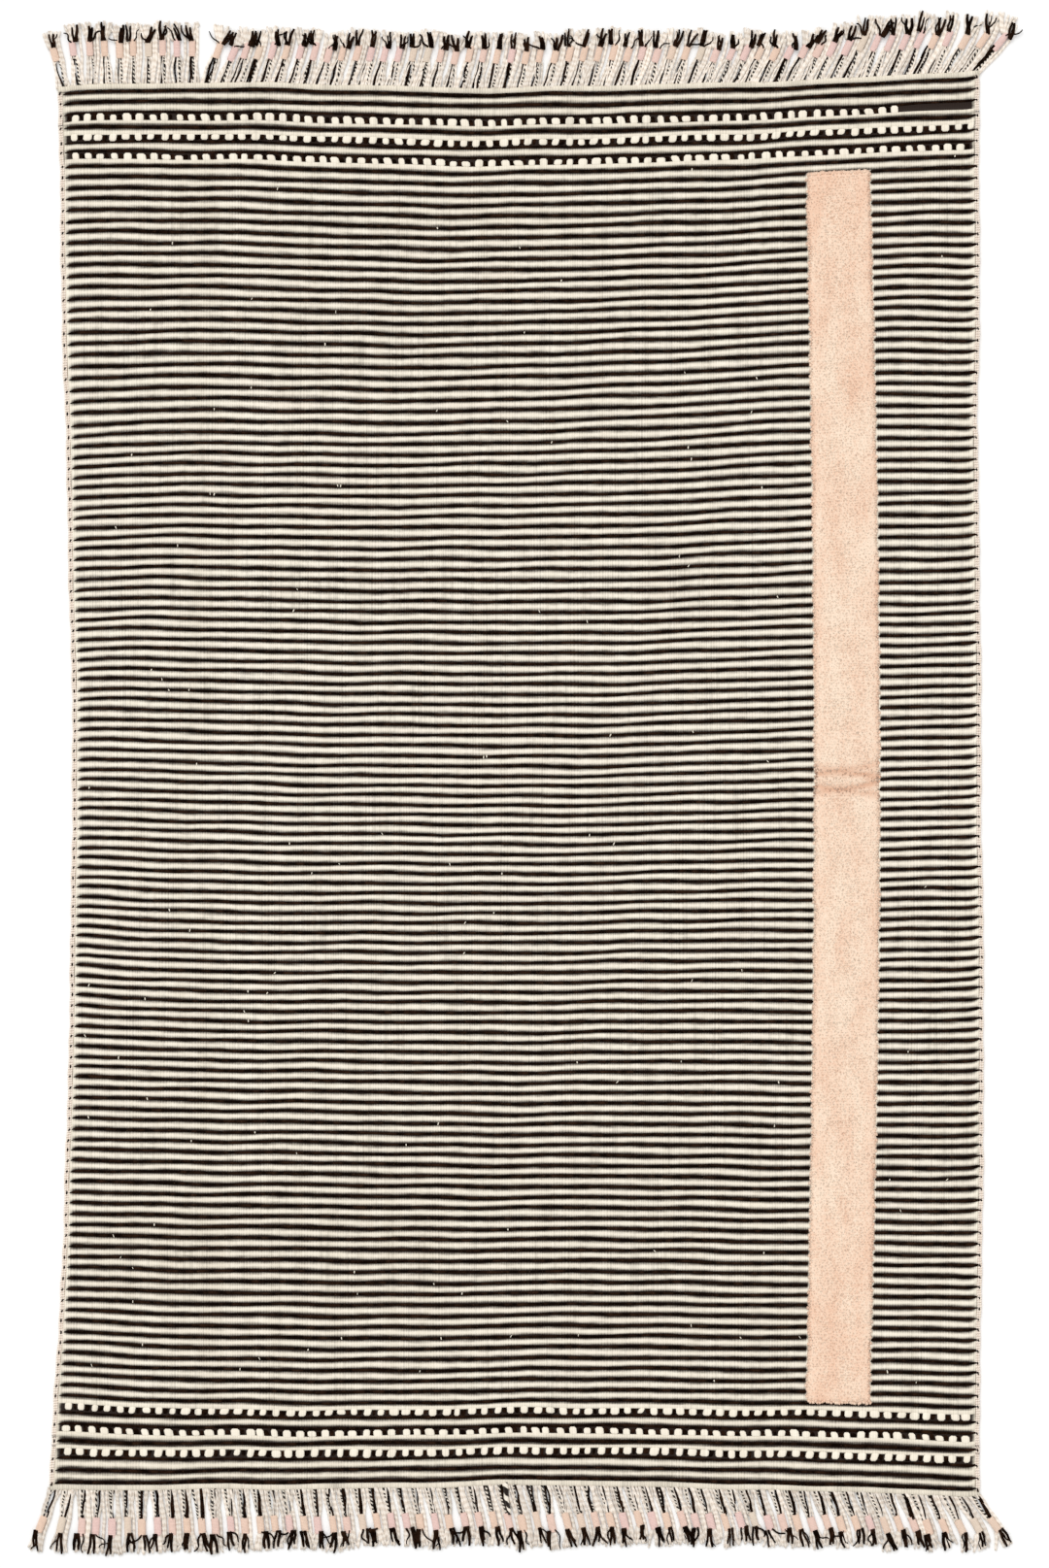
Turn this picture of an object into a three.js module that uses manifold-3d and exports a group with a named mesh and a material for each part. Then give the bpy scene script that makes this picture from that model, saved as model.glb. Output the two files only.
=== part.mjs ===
// A kilim rug laid flat: a ribbed flatweave of cream ribs and dark grooves, with an inlaid panel of
// short pile, a corded selvedge down each side, and a wrapped warp fringe on a header at each end.
// Millimetres. X runs across the rug, Y along it and Z up, with the floor at Z = 0.
import * as THREE from 'three';
import { mergeVertices } from 'three/addons/utils/BufferGeometryUtils.js';
import Module from 'manifold-3d';

const wasm = await Module();
wasm.setup();

// Driving dimensions
const gap = 0.4; // between neighbouring pieces
const halfWidth = 602; // half the woven width, the scale of the columns in weaveRows
const ribTop = 5.6;
const grooveTop = 3.6;
const pileBed = 3.0; // thin ground under the pile panel
const pileTop = 8.4;
const selvedgeWidth = 7;
const selvedgeHeight = 6.2;
const fieldRows = 118; // the field's dark rows run from 0 to this number
const borderRows = 8; // each end border is as wide as this many field rows
const rim = 2.2; // the ground's edge beyond its outermost groove
const headerWidth = 7.6;
const headerHeight = 5.2;
const locksPerEnd = 65;

// Where the weave wandered on the loom. mid is the height of a dark row on the rug's centre line.
// farLeft to farRight say how much higher the row lies at the edges and at the quarters of the
// width. sideLeft and sideRight are the rug's outer edges at that row.
const weaveRows = [
  { row: -8, mid: 909, farLeft: 2, left: 4, right: 7, farRight: 19, sideLeft: -608, sideRight: 603 },
  { row: 0, mid: 806, farLeft: 9, left: 5, right: 9, farRight: 20, sideLeft: -605, sideRight: 602 },
  { row: 8, mid: 692, farLeft: 8, left: 4, right: 10, farRight: 18, sideLeft: -604, sideRight: 603 },
  { row: 16, mid: 581, farLeft: 0, left: 1, right: 12, farRight: 18, sideLeft: -602, sideRight: 603 },
  { row: 24, mid: 465, farLeft: -6, left: -1, right: 13, farRight: 20, sideLeft: -597, sideRight: 600 },
  { row: 32, mid: 355, farLeft: -3, left: 0, right: 9, farRight: 18, sideLeft: -595, sideRight: 602 },
  { row: 40, mid: 242, farLeft: 3, left: 3, right: 6, farRight: 13, sideLeft: -593, sideRight: 603 },
  { row: 48, mid: 134, farLeft: 7, left: 3, right: 6, farRight: 12, sideLeft: -589, sideRight: 605 },
  { row: 56, mid: 26, farLeft: 9, left: 3, right: 6, farRight: 12, sideLeft: -589, sideRight: 605 },
  { row: 64, mid: -76, farLeft: 9, left: 2, right: 4, farRight: 9, sideLeft: -589, sideRight: 605 },
  { row: 72, mid: -179, farLeft: 10, left: 0, right: 3, farRight: 6, sideLeft: -591, sideRight: 608 },
  { row: 80, mid: -283, farLeft: 11, left: 0, right: 1, farRight: 3, sideLeft: -592, sideRight: 608 },
  { row: 88, mid: -389, farLeft: 10, left: 2, right: 0, farRight: 0, sideLeft: -594, sideRight: 608 },
  { row: 96, mid: -498, farLeft: 9, left: 3, right: -2, farRight: -4, sideLeft: -598, sideRight: 608 },
  { row: 104, mid: -609, farLeft: 8, left: 1, right: -2, farRight: -9, sideLeft: -601, sideRight: 606 },
  { row: 112, mid: -723, farLeft: 10, left: -2, right: 0, farRight: -6, sideLeft: -607, sideRight: 604 },
  { row: 118, mid: -807, farLeft: 9, left: -2, right: -1, farRight: -9, sideLeft: -613, sideRight: 603 },
  { row: 126, mid: -908, farLeft: -4, left: -4, right: -4, farRight: -15, sideLeft: -619, sideRight: 603 },
];

// The ribs and grooves of one end border, from its outermost groove (0) to the field (1)
const borderRelief = [
  { at: 0.0, top: grooveTop },
  { at: 0.072, top: ribTop },
  { at: 0.143, top: grooveTop },
  { at: 0.212, top: ribTop },
  { at: 0.28, top: grooveTop },
  { at: 0.33, top: 5.0 },
  { at: 0.43, top: ribTop },
  { at: 0.481, top: grooveTop },
  { at: 0.545, top: ribTop },
  { at: 0.625, top: 5.0 },
  { at: 0.674, top: grooveTop },
  { at: 0.74, top: ribTop },
  { at: 0.805, top: grooveTop },
  { at: 0.86, top: 5.0 },
  { at: 0.945, top: ribTop },
];

// The pile panel's two side edges, which bulge towards the right edge of the rug in the middle
const panel = {
  firstRow: 1, lastRow: 117.5,
  left: 377, leftBulge: 10.5,
  right: 457.5, rightBulge: 13,
  slope: 1.2, steps: 36, lump: 0.9,
};

// How far the warp locks of each end lean to the right, in degrees, and how long they are. at runs
// from the left edge (-1) to the right edge (1).
const topLocks = [
  { at: -1, lean: -20, long: 79 },
  { at: -0.94, lean: -4, long: 81 },
  { at: -0.71, lean: 0, long: 81 },
  { at: -0.67, lean: 24, long: 79 },
  { at: -0.58, lean: 16, long: 78 },
  { at: -0.4, lean: 15, long: 76 },
  { at: 0, lean: 12, long: 75 },
  { at: 0.2, lean: 15, long: 80 },
  { at: 0.35, lean: 18, long: 75 },
  { at: 0.5, lean: 25, long: 74 },
  { at: 0.64, lean: 25, long: 77 },
  { at: 0.7, lean: 25, long: 88 },
  { at: 0.9, lean: 25, long: 89 },
  { at: 1, lean: 42, long: 92 },
];
const bottomLocks = [
  { at: -1, lean: -24, long: 88 },
  { at: -0.93, lean: -5, long: 87 },
  { at: -0.85, lean: 0, long: 86 },
  { at: -0.6, lean: 5, long: 85 },
  { at: -0.12, lean: 11, long: 82 },
  { at: 0, lean: 12, long: 87 },
  { at: 0.1, lean: 13, long: 87 },
  { at: 0.2, lean: 14, long: 82 },
  { at: 0.6, lean: 17, long: 79 },
  { at: 0.88, lean: 20, long: 79 },
  { at: 1, lean: 36, long: 82 },
];

// One fringe lock from its root to its cut tip: at is the share of its length, width and height are
// in millimetres. The lock narrows to a bound wrap past its middle, then splays flat.
const lockSections = [
  { at: 0.0, width: 13, height: 4.4 },
  { at: 0.47, width: 9, height: 5.0 },
  { at: 0.73, width: 9, height: 5.0 },
  { at: 0.9, width: 15, height: 3.6 },
  { at: 1.0, width: 14, height: 2.0 },
];
const wrapEnd = 3; // sections up to the end of the wrap
const tipStraightens = 0.5; // share of the lean that is left beyond the wrap
const lockRootDepth = 3; // how far a root reaches into its header

// A fixed scatter between -0.5 and 0.5, so that no two locks are alike
function scatter(index, salt) {
  return ((index * 73 + index * index * 7 + salt * 41) % 97) / 96 - 0.5;
}

// Reads a table at a place between two of its rows
function between(table, key, place, column) {
  let next = table.findIndex((entry) => entry[key] >= place);
  next = next < 0 ? table.length - 1 : Math.max(next, 1);
  const [low, high] = [table[next - 1], table[next]];
  const share = (place - low[key]) / (high[key] - low[key]);
  return low[column] + (high[column] - low[column]) * share;
}

// The height on the rug of a weave row at x: one smooth curve through its five table columns
function rowHeight(row, x) {
  const read = (column) => between(weaveRows, 'row', row, column);
  const u = x / halfWidth;
  const outer = (u * (u * u - 0.25)) / 1.5;
  const inner = (u * (1 - u * u)) / 0.375;
  const far = read('farLeft') * outer * (u - 1) + read('farRight') * outer * (u + 1);
  const near = read('left') * inner * (u - 0.5) + read('right') * inner * (u + 0.5);
  return read('mid') + far + near;
}

const sideAt = (row, side) => between(weaveRows, 'row', row, side);

// The rim in rows of the border
const rimRows = (rim * borderRows) / (weaveRows[0].mid - weaveRows[1].mid);

// The two side edges of the pile panel at a row
function panelEdges(row) {
  const bulge = Math.sin((Math.PI * row) / fieldRows);
  return [panel.left + panel.leftBulge * bulge, panel.right + panel.rightBulge * bulge];
}

// Turns every face of a closed geometry outwards
function facingOut(geometry) {
  const position = geometry.attributes.position;
  const index = geometry.index.array;
  const [a, b, c] = [new THREE.Vector3(), new THREE.Vector3(), new THREE.Vector3()];
  let volume = 0;
  for (let i = 0; i < index.length; i += 3) {
    a.fromBufferAttribute(position, index[i]);
    b.fromBufferAttribute(position, index[i + 1]);
    c.fromBufferAttribute(position, index[i + 2]);
    volume += a.dot(b.cross(c));
  }
  if (volume < 0) {
    for (let i = 0; i < index.length; i += 3) {
      [index[i], index[i + 1]] = [index[i + 1], index[i]];
    }
  }
  return geometry;
}

// Extrudes an outline straight, then moves each of its points: place(x, y, along) returns [x, y, z],
// with along from 0 to 1
function bentExtrusion(outline, steps, place) {
  const shape = new THREE.Shape(outline.map(([x, y]) => new THREE.Vector2(x, y)));
  const straight = new THREE.ExtrudeGeometry(shape, { depth: 1, steps, bevelEnabled: false });
  straight.deleteAttribute('normal');
  straight.deleteAttribute('uv');
  const geometry = mergeVertices(straight, 1e-5);
  const position = geometry.attributes.position;
  for (let i = 0; i < position.count; i += 1) {
    const moved = place(position.getX(i), position.getY(i), position.getZ(i));
    position.setXYZ(i, ...moved);
  }
  return facingOut(geometry);
}

// The ground's section along the rug, as [row, height] from one end to the other
function reliefPoints() {
  const top = borderRelief.map(({ at, top: height }) => [(at - 1) * borderRows, height]);
  const field = [];
  for (let row = 0; row <= fieldRows; row += 1) {
    field.push([row, grooveTop]);
    if (row < fieldRows) field.push([row + 0.5, ribTop]);
  }
  const bottom = borderRelief.map(({ at, top: height }) => [fieldRows + (1 - at) * borderRows, height]);
  return [...top, ...field, ...bottom.reverse()];
}

// The columns that ground and headers share, closer where the ground dips under the pile panel
function columnsAt(row) {
  const [panelLeft, panelRight] = panelEdges(row);
  return [
    sideAt(row, 'sideLeft') + selvedgeWidth + gap,
    -430, -215, 0, 190,
    panelLeft, panelLeft + panel.slope, panelRight - panel.slope, panelRight,
    sideAt(row, 'sideRight') - selvedgeWidth - gap,
  ];
}

// The flatweave, swept along the rug from rib to groove. The outline that is swept is a thin zigzag
// from column to column, which cuts the two end walls into one upright piece for each column. The
// underside needs no columns of its own at the two walls of the pile bed.
function groundGeometry() {
  const relief = reliefPoints();
  const [first, last] = [relief[0][0] - rimRows, relief[relief.length - 1][0] + rimRows];
  const stations = [[first, grooveTop], ...relief, [last, grooveTop]];
  const zigzag = [0, 1, 0, 1, 0, 1, 0.67, 0.33, 0, 1];
  const inBed = (column) => column === 6 || column === 7;
  const upper = zigzag.map((wave, column) => [column, wave + (inBed(column) ? 0.09 : 0.1)]);
  const under = zigzag.map((wave, column) => [column, wave]).filter(([column]) => !inBed(column));
  return bentExtrusion([...upper, ...under.reverse()], stations.length - 1, (across, height, along) => {
    const [row, top] = stations[Math.round(along * (stations.length - 1))];
    const column = Math.round(across);
    const underPile = row > panel.firstRow - 0.1 && row < panel.lastRow + 0.1;
    const woven = underPile && inBed(column) ? pileBed : top;
    const x = columnsAt(row)[column];
    return [x, rowHeight(row, x), height > zigzag[column] + 0.05 ? woven : 0];
  });
}

// The pile panel: a low lumpy slab with rounded sides, standing on the thinned ground
function pileGeometry() {
  const base = pileBed + gap;
  const outline = [
    [0, base], [1, base], [1.006, base + 2.6], [0.94, pileTop - 1],
    [0.7, pileTop], [0.3, pileTop + 0.1], [0.06, pileTop - 1], [-0.006, base + 2.6],
  ];
  return bentExtrusion(outline, panel.steps, (share, height, along) => {
    const step = Math.round(along * panel.steps);
    const row = panel.firstRow + 0.1 + (panel.lastRow - panel.firstRow - 0.2) * along;
    const [panelLeft, panelRight] = panelEdges(row);
    const left = panelLeft + panel.slope + gap;
    const right = panelRight - panel.slope - gap;
    const atEnd = step === 0 || step === panel.steps;
    const lump = scatter(step, share > 0.5 ? 3 : 5) * panel.lump - (atEnd ? 1.6 : 0);
    const x = left + (right - left) * share;
    return [x, rowHeight(row, x), height > base + 1 ? height + lump : height];
  });
}

// A selvedge: warps bundled into a cord down one side of the rug, flat where it lies on the floor
function selvedgeGeometry(side) {
  const [h, w] = [selvedgeHeight, selvedgeWidth];
  const outline = [[0.3, 0], [w - 0.3, 0], [w, h * 0.5], [w * 0.5, h], [0, h * 0.5]];
  const steps = 40;
  const inset = side === 'sideLeft' ? 1 : -1;
  return bentExtrusion(outline, steps, (inwards, height, along) => {
    const row = -borderRows - rimRows + (fieldRows + 2 * (borderRows + rimRows)) * along;
    const wobble = scatter(Math.round(along * steps), 2) * 0.6;
    const x = sideAt(row, side) + inset * inwards;
    return [x, rowHeight(row, x), height > 1 ? height + wobble : height];
  });
}

// The header: the last cream rib, into which the locks of one end are bound. direction is 1 at the
// top of the rug and -1 at the bottom.
function headerGeometry(row, direction) {
  const near = rim + gap;
  const far = near + headerWidth;
  const outline = [
    [near, 0], [far, 0], [far + 0.4, headerHeight * 0.5],
    [far - 3, headerHeight], [near + 0.4, headerHeight * 0.85],
  ];
  const columns = [sideAt(row, 'sideLeft'), ...columnsAt(row), sideAt(row, 'sideRight')];
  return bentExtrusion(outline, columns.length - 1, (outwards, height, along) => {
    const x = columns[Math.round(along * (columns.length - 1))];
    return [x, rowHeight(row, x) + direction * outwards, height];
  });
}

// The number of degrees a lock leans, its length and the place of its root
function lockPlan(index, end) {
  const at = -1 + (2 * (index + 0.5)) / locksPerEnd;
  const lean = between(end.locks, 'at', at, 'lean') + scatter(index, end.salt) * 2.5;
  const [left, right] = [sideAt(end.row, 'sideLeft') + 8, sideAt(end.row, 'sideRight') - 8];
  return {
    x: left + (right - left) * (index / (locksPerEnd - 1)),
    lean: THREE.MathUtils.degToRad(lean),
    length: between(end.locks, 'at', at, 'long') + scatter(index, end.salt + 1) * 7,
    slim: Math.min(1, Math.cos(THREE.MathUtils.degToRad(lean)) * 1.08),
  };
}

// One lock, three-sided, lying level on the floor from its root in the header to its splayed tip
function lockGeometry(index, end) {
  const plan = lockPlan(index, end);
  const rootOut = rim + gap + headerWidth - lockRootDepth;
  const bendAt = lockSections[wrapEnd - 1].at;
  const last = lockSections.length - 1;
  return bentExtrusion([[-0.5, 0], [0.5, 0], [0, 1]], last, (acrossLock, up, along) => {
    const section = lockSections[Math.round(along * last)];
    const straight = Math.min(section.at, bendAt) * plan.length;
    const beyond = Math.max(section.at - bendAt, 0) * plan.length;
    const tipLean = plan.lean * tipStraightens;
    const heading = section.at > bendAt ? tipLean : plan.lean;
    const out = rootOut + straight * Math.cos(plan.lean) + beyond * Math.cos(tipLean);
    const shift = straight * Math.sin(plan.lean) + beyond * Math.sin(tipLean);
    const width = section.width * plan.slim * acrossLock;
    const x = plan.x + shift + width * Math.cos(heading);
    const y = rowHeight(end.row, plan.x) + end.direction * (out - width * Math.sin(heading));
    return [x, y, up > 0 ? section.height : 0];
  });
}

// A geometry as a solid that can be joined with others
function solidOf(geometry) {
  const vertProperties = Float32Array.from(geometry.attributes.position.array);
  const triVerts = Uint32Array.from(geometry.index.array);
  return new wasm.Manifold(new wasm.Mesh({ numProp: 3, vertProperties, triVerts }));
}

function geometryOf(solid) {
  const { vertProperties, triVerts } = solid.getMesh();
  const geometry = new THREE.BufferGeometry();
  geometry.setAttribute('position', new THREE.BufferAttribute(vertProperties, 3));
  geometry.setIndex(new THREE.BufferAttribute(triVerts, 1));
  return geometry;
}

// The fringe of one end: every lock fused by its root into the header
function fringeGeometry(end) {
  let fringe = solidOf(headerGeometry(end.row, end.direction));
  for (let index = 0; index < locksPerEnd; index += 1) {
    fringe = fringe.add(solidOf(lockGeometry(index, end)));
  }
  return geometryOf(fringe);
}

const ends = {
  fringe_top: { row: -borderRows, direction: 1, locks: topLocks, salt: 11 },
  fringe_bottom: { row: fieldRows + borderRows, direction: -1, locks: bottomLocks, salt: 17 },
};

const rug = new THREE.Group();

// Adds one named sub-part with its own matt woollen finish
function addPiece(name, geometry, color, roughness) {
  geometry.computeVertexNormals();
  const material = new THREE.MeshStandardMaterial({ color, roughness, metalness: 0 });
  const mesh = new THREE.Mesh(geometry, material);
  mesh.name = name;
  rug.add(mesh);
}

addPiece('ground', groundGeometry(), '#e9dfcf', 0.95);
addPiece('pile_panel', pileGeometry(), '#f2d3bb', 1.0);
addPiece('selvedge_left', selvedgeGeometry('sideLeft'), '#eadccb', 0.95);
addPiece('selvedge_right', selvedgeGeometry('sideRight'), '#eadccb', 0.95);
for (const [name, end] of Object.entries(ends)) {
  addPiece(name, fringeGeometry(end), '#efe1d0', 0.95);
}

// The origin lies on the floor under the middle of the rug's outline
const middle = new THREE.Box3().setFromObject(rug).getCenter(new THREE.Vector3());
rug.position.set(-middle.x, -middle.y, 0);

export default rug;
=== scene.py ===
import math
from functools import partial

import bmesh
import bpy
import numpy as np
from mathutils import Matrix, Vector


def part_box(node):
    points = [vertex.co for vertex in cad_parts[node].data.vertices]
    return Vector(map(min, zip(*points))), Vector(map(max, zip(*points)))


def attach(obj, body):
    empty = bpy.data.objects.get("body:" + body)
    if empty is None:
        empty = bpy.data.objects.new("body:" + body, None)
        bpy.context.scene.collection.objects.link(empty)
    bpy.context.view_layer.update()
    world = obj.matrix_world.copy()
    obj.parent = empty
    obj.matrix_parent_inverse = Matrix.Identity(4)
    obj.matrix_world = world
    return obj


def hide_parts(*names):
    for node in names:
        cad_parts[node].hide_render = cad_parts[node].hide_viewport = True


# A flatwoven rug laid out on a pale floor, seen from straight above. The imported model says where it
# lies, and the tables say how it was woven. This script weaves it again from ribs, dark wefts,
# beads, pile tufts and fringe strands. Lengths are in millimetres until toFrame makes them metres.
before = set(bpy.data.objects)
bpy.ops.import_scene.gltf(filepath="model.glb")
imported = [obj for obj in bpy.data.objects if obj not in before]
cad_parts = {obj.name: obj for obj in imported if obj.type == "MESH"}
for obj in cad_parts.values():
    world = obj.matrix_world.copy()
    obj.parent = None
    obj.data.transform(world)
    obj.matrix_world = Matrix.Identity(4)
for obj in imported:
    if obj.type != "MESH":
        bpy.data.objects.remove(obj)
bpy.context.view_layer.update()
print("loaded", len(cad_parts), "pieces of the packed model")

rug = {
    "halfWidth": 602,
    "fieldRows": 118,  # dark rows from one end border to the other
    "borderRows": 8,  # an end border is as wide as this many field rows
    "rim": 2.2,  # cloth beyond the outermost groove
    "gap": 0.4,  # left between neighbouring pieces
    "selvedge": 7,
    "header": 7.6,
    "locks": 65,  # fringe locks at each end
    "hookUp": 2.3,  # how far a row's end is pulled up where the weft turns round the right selvedge
    "hookDown": 1.3,  # and down on the left
    "hookReach": 7,
    "slackRow": 48,  # where the weft is beaten in least
    "tightensOver": 58,  # rows
    "tightest": 0.8,
    "seed": 11,
}

# Where the weave wandered on the loom: the height of a dark row at mid width, how much higher it
# lies at the edges and quarters of the width, and the rug's two outer edges there
weaveTable = {
    "row": (-8, 0, 8, 16, 24, 32, 40, 48, 56, 64, 72, 80, 88, 96, 104, 112, 118, 126),
    "mid": (
        909, 806, 692, 581, 465, 355, 242, 134, 26, -76, -179, -283, -389, -498, -609, -723, -807.5, -909.2,
    ),
    "farLeft": (2, 9, 8, 0, -6, -3, 3, 7, 9, 9, 10, 11, 10, 9, 8, 10, 9, -4),
    "left": (4, 5, 4, 1, -1, 0, 3, 3, 3, 2, 0, 0, 2, 3, 1, -2, -2, -4),
    "right": (7, 9, 10, 12, 13, 9, 6, 6, 6, 4, 3, 1, 0, -2, -2, 0, -1, -4),
    "farRight": (19, 20, 18, 18, 20, 18, 13, 12, 12, 9, 6, 3, 0, -4, -9, -6, -9, -15),
    "sideLeft": (
        -608, -605, -604, -602, -597, -595, -593, -589, -589, -589, -591, -592, -594, -598, -601, -607,
        -613, -619,
    ),
    "sideRight": (603, 602, 603, 603, 600, 602, 603, 605, 605, 605, 608, 608, 608, 608, 606, 604, 603, 603),
}
# The waves of a hand beater, each as its height, the millimetres of one radian of it, the radians
# that it moves on with each row, and where it starts
beaterWaves = [
    (0.7, 67, 0.06, 0), (0.5, 29, 0.11, 1.3), (0.45, 83, 2.4, 0), (0.4, 34, 1.7, 1), (0.3, 19, 0.31, 2.1),
]

borderMm = weaveTable["mid"][0] - weaveTable["mid"][1]
rimRows = rug["rim"] * rug["borderRows"] / borderMm
firstRow = -rug["borderRows"] - rimRows
lastRow = rug["fieldRows"] + rug["borderRows"] + rimRows


def read(table, key, column, place):
    # Reads a table between its entries, and straight on past its ends
    at, value = np.array(table[key], float), np.array(table[column], float)
    low = np.clip(np.searchsorted(at, place) - 1, 0, len(at) - 2)
    share = (place - at[low]) / (at[low + 1] - at[low])
    return value[low] + (value[low + 1] - value[low]) * share


def sideAt(row, side):
    return read(weaveTable, "row", side, row)


def tightness(row):
    # How tightly the weft is beaten in: 0 a little above the middle of the rug, most at its ends
    return np.minimum(((row - rug["slackRow"]) / rug["tightensOver"]) ** 2, rug["tightest"])


def rowHeight(row, x):
    # One smooth curve through the five heights that the table gives for a row
    u = x / rug["halfWidth"]
    outer = u * (u * u - 0.25) / 1.5
    inner = u * (1 - u * u) / 0.375
    far = sideAt(row, "farLeft") * outer * (u - 1) + sideAt(row, "farRight") * outer * (u + 1)
    near = sideAt(row, "left") * inner * (u - 0.5) + sideAt(row, "right") * inner * (u + 0.5)
    return sideAt(row, "mid") + far + near


def ripple(waves, row, x):
    return sum(high * np.sin(x / over + perRow * row + start) for high, over, perRow, start in waves)


def weaveHeight(row, x):
    fromLeft = np.maximum(x - sideAt(row, "sideLeft") - rug["selvedge"], 0)
    fromRight = np.maximum(sideAt(row, "sideRight") - rug["selvedge"] - x, 0)
    hooks = rug["hookUp"] * np.exp(-fromRight / rug["hookReach"])
    hooks = hooks - rug["hookDown"] * np.exp(-fromLeft / rug["hookReach"])
    return rowHeight(row, x) + ripple(beaterWaves, row, x) + hooks


# The model is centred on the rug's outline; this is how far that moved it
shift = np.array([
    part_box("selvedge_left")[0].x * 1000 - sideAt(lastRow, "sideLeft"),
    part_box("selvedge_right")[1].y * 1000 - rowHeight(firstRow, sideAt(firstRow, "sideRight")),
    0,
])


def toFrame(points):
    return (points + shift) / 1000


def scatter(index, salt):
    # A fixed scatter from -0.5 to 0.5, the one that the fringe was planned with
    return ((index * 73 + index * index * 7 + salt * 41) % 97) / 96 - 0.5


def readPoints(mesh):
    flat = np.empty(len(mesh.vertices) * 3)
    mesh.vertices.foreach_get("co", flat)
    return flat.reshape(-1, 3)


def writePoints(mesh, points):
    mesh.vertices.foreach_set("co", toFrame(points).ravel())
    mesh.update()


def writeValues(mesh, name, values):
    # One number for each point, or three where values has rows
    kind, field = ("FLOAT_VECTOR", "vector") if values.ndim > 1 else ("FLOAT", "value")
    attribute = mesh.attributes.new(name, kind, "POINT")
    attribute.data.foreach_set(field, values.astype(np.float32).ravel())


def newPiece(name, shape):
    mesh = bpy.data.meshes.new(name)
    shape.to_mesh(mesh)
    shape.free()
    piece = bpy.data.objects.new(name, mesh)
    bpy.context.scene.collection.objects.link(piece)
    return piece


def copied(piece, copies):
    # Joins the copies into one mesh, one after another
    array = piece.modifiers.new("copies", "ARRAY")
    array.count = copies
    array.use_relative_offset = False
    array.use_constant_offset = True
    array.constant_offset_displace = (0, 0, 0)
    graph = bpy.context.evaluated_depsgraph_get()
    joined = bpy.data.meshes.new_from_object(piece.evaluated_get(graph))
    piece.modifiers.clear()
    piece.data = joined
    return readPoints(joined).reshape(copies, -1, 3)


def finishPiece(piece, material, nodes=()):
    piece.data.materials.clear()
    piece.data.materials.append(material)
    piece.data.shade_smooth()
    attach(piece, "root")
    if nodes:
        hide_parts(*nodes)
    return piece


def slab(name, across, along):
    # A closed sheet of a grid: returns it with each point's column, row and whether it is on top
    thick = 0.1
    shape = bmesh.new()
    bmesh.ops.create_grid(shape, x_segments=across, y_segments=along, size=0.5)
    bmesh.ops.solidify(shape, geom=shape.faces[:], thickness=thick)
    piece = newPiece(name, shape)
    points = readPoints(piece.data)
    column = np.rint((points[:, 0] + 0.5) * across).astype(int)
    row = np.rint((points[:, 1] + 0.5) * along).astype(int)
    return piece, column, row, points[:, 2] > -thick / 2


def tubes(name, centre, halfWidth, halfHeight, sides, shade=None):
    # Closed tubes along the lines in centre, which is (tubes, stations, 3). shade has one number
    # for each tube. Returns the piece with the station of each tube's points
    copies, stations = centre.shape[:2]
    shape = bmesh.new()
    bmesh.ops.create_cone(shape, cap_ends=True, segments=sides, radius1=1, radius2=1, depth=1)
    long = [edge for edge in shape.edges if abs(edge.verts[0].co.z - edge.verts[1].co.z) > 0.5]
    bmesh.ops.subdivide_edges(shape, edges=long, cuts=stations - 2)
    piece = newPiece(name, shape)
    points = copied(piece, copies)
    station = np.rint((points[..., 2] + 0.5) * (stations - 1)).astype(int)
    at = np.arange(copies)[:, None], station
    run = np.gradient(centre, axis=1)
    run /= np.linalg.norm(run, axis=2, keepdims=True)
    level = np.maximum(np.hypot(run[..., 0], run[..., 1]), 1e-6)
    sideways = np.stack([-run[..., 1] / level, run[..., 0] / level, 0 * level], -1)
    upwards = np.cross(run, sideways)
    steps = np.linalg.norm(np.diff(centre, axis=1), axis=2)
    along = np.concatenate([np.zeros((copies, 1)), np.cumsum(steps, axis=1)], axis=1)
    wide = np.broadcast_to(halfWidth, along.shape)[at][..., None] * points[..., :1]
    high = np.broadcast_to(halfHeight, along.shape)[at][..., None] * points[..., 1:2]
    writePoints(piece.data, centre[at] + wide * sideways[at] + high * upwards[at])
    strand = np.concatenate([points[..., :2], along[at][..., None]], -1)
    writeValues(piece.data, "strand", strand.reshape(-1, 3))
    if shade is not None:
        writeValues(piece.data, "shade", np.repeat(shade, points.shape[1]))
    return piece, station


def nubs(name, wool, x, row, lift, size, lean):
    # Small puffed blocks on the weave. lift is the height of the middle, size is how wide, long and
    # high they are, and lean is how far the far end of each is pushed to the right
    bevel, strays = 0.22, 1.2  # a share of the block, and the millimetres that they stray off the row
    offRow = strays * scatter(np.arange(len(x)), 31)
    shape = bmesh.new()
    bmesh.ops.create_cube(shape, size=1)
    bmesh.ops.bevel(
        shape, geom=shape.edges[:], offset=bevel, offset_type="OFFSET", segments=1, profile=0.5,
        affect="EDGES", clamp_overlap=True, material=-1,
    )
    piece = newPiece(name, shape)
    unit = copied(piece, len(x))
    points = unit * np.stack(np.broadcast_arrays(*size), -1)[:, None]
    placedX = x[:, None] + points[..., 0] + lean[:, None] * unit[..., 1]
    rows = np.broadcast_to(row[:, None], placedX.shape)
    placedY = weaveHeight(rows, placedX) + points[..., 1] + offRow[:, None]
    placedZ = np.broadcast_to(lift, x.shape)[:, None] + points[..., 2]
    writePoints(piece.data, np.stack([placedX, placedY, placedZ], -1))
    writeValues(piece.data, "weave", np.stack([placedX, rows, 0 * placedX], -1).reshape(-1, 3))
    if wool == black:
        # The yarn shows its upper side only
        writeValues(piece.data, "strand", np.tile((0, 1, 0), (placedX.size, 1)))
    return finishPiece(piece, wool)


# Materials. On Object coordinates a scale is how many spots a metre has


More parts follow.
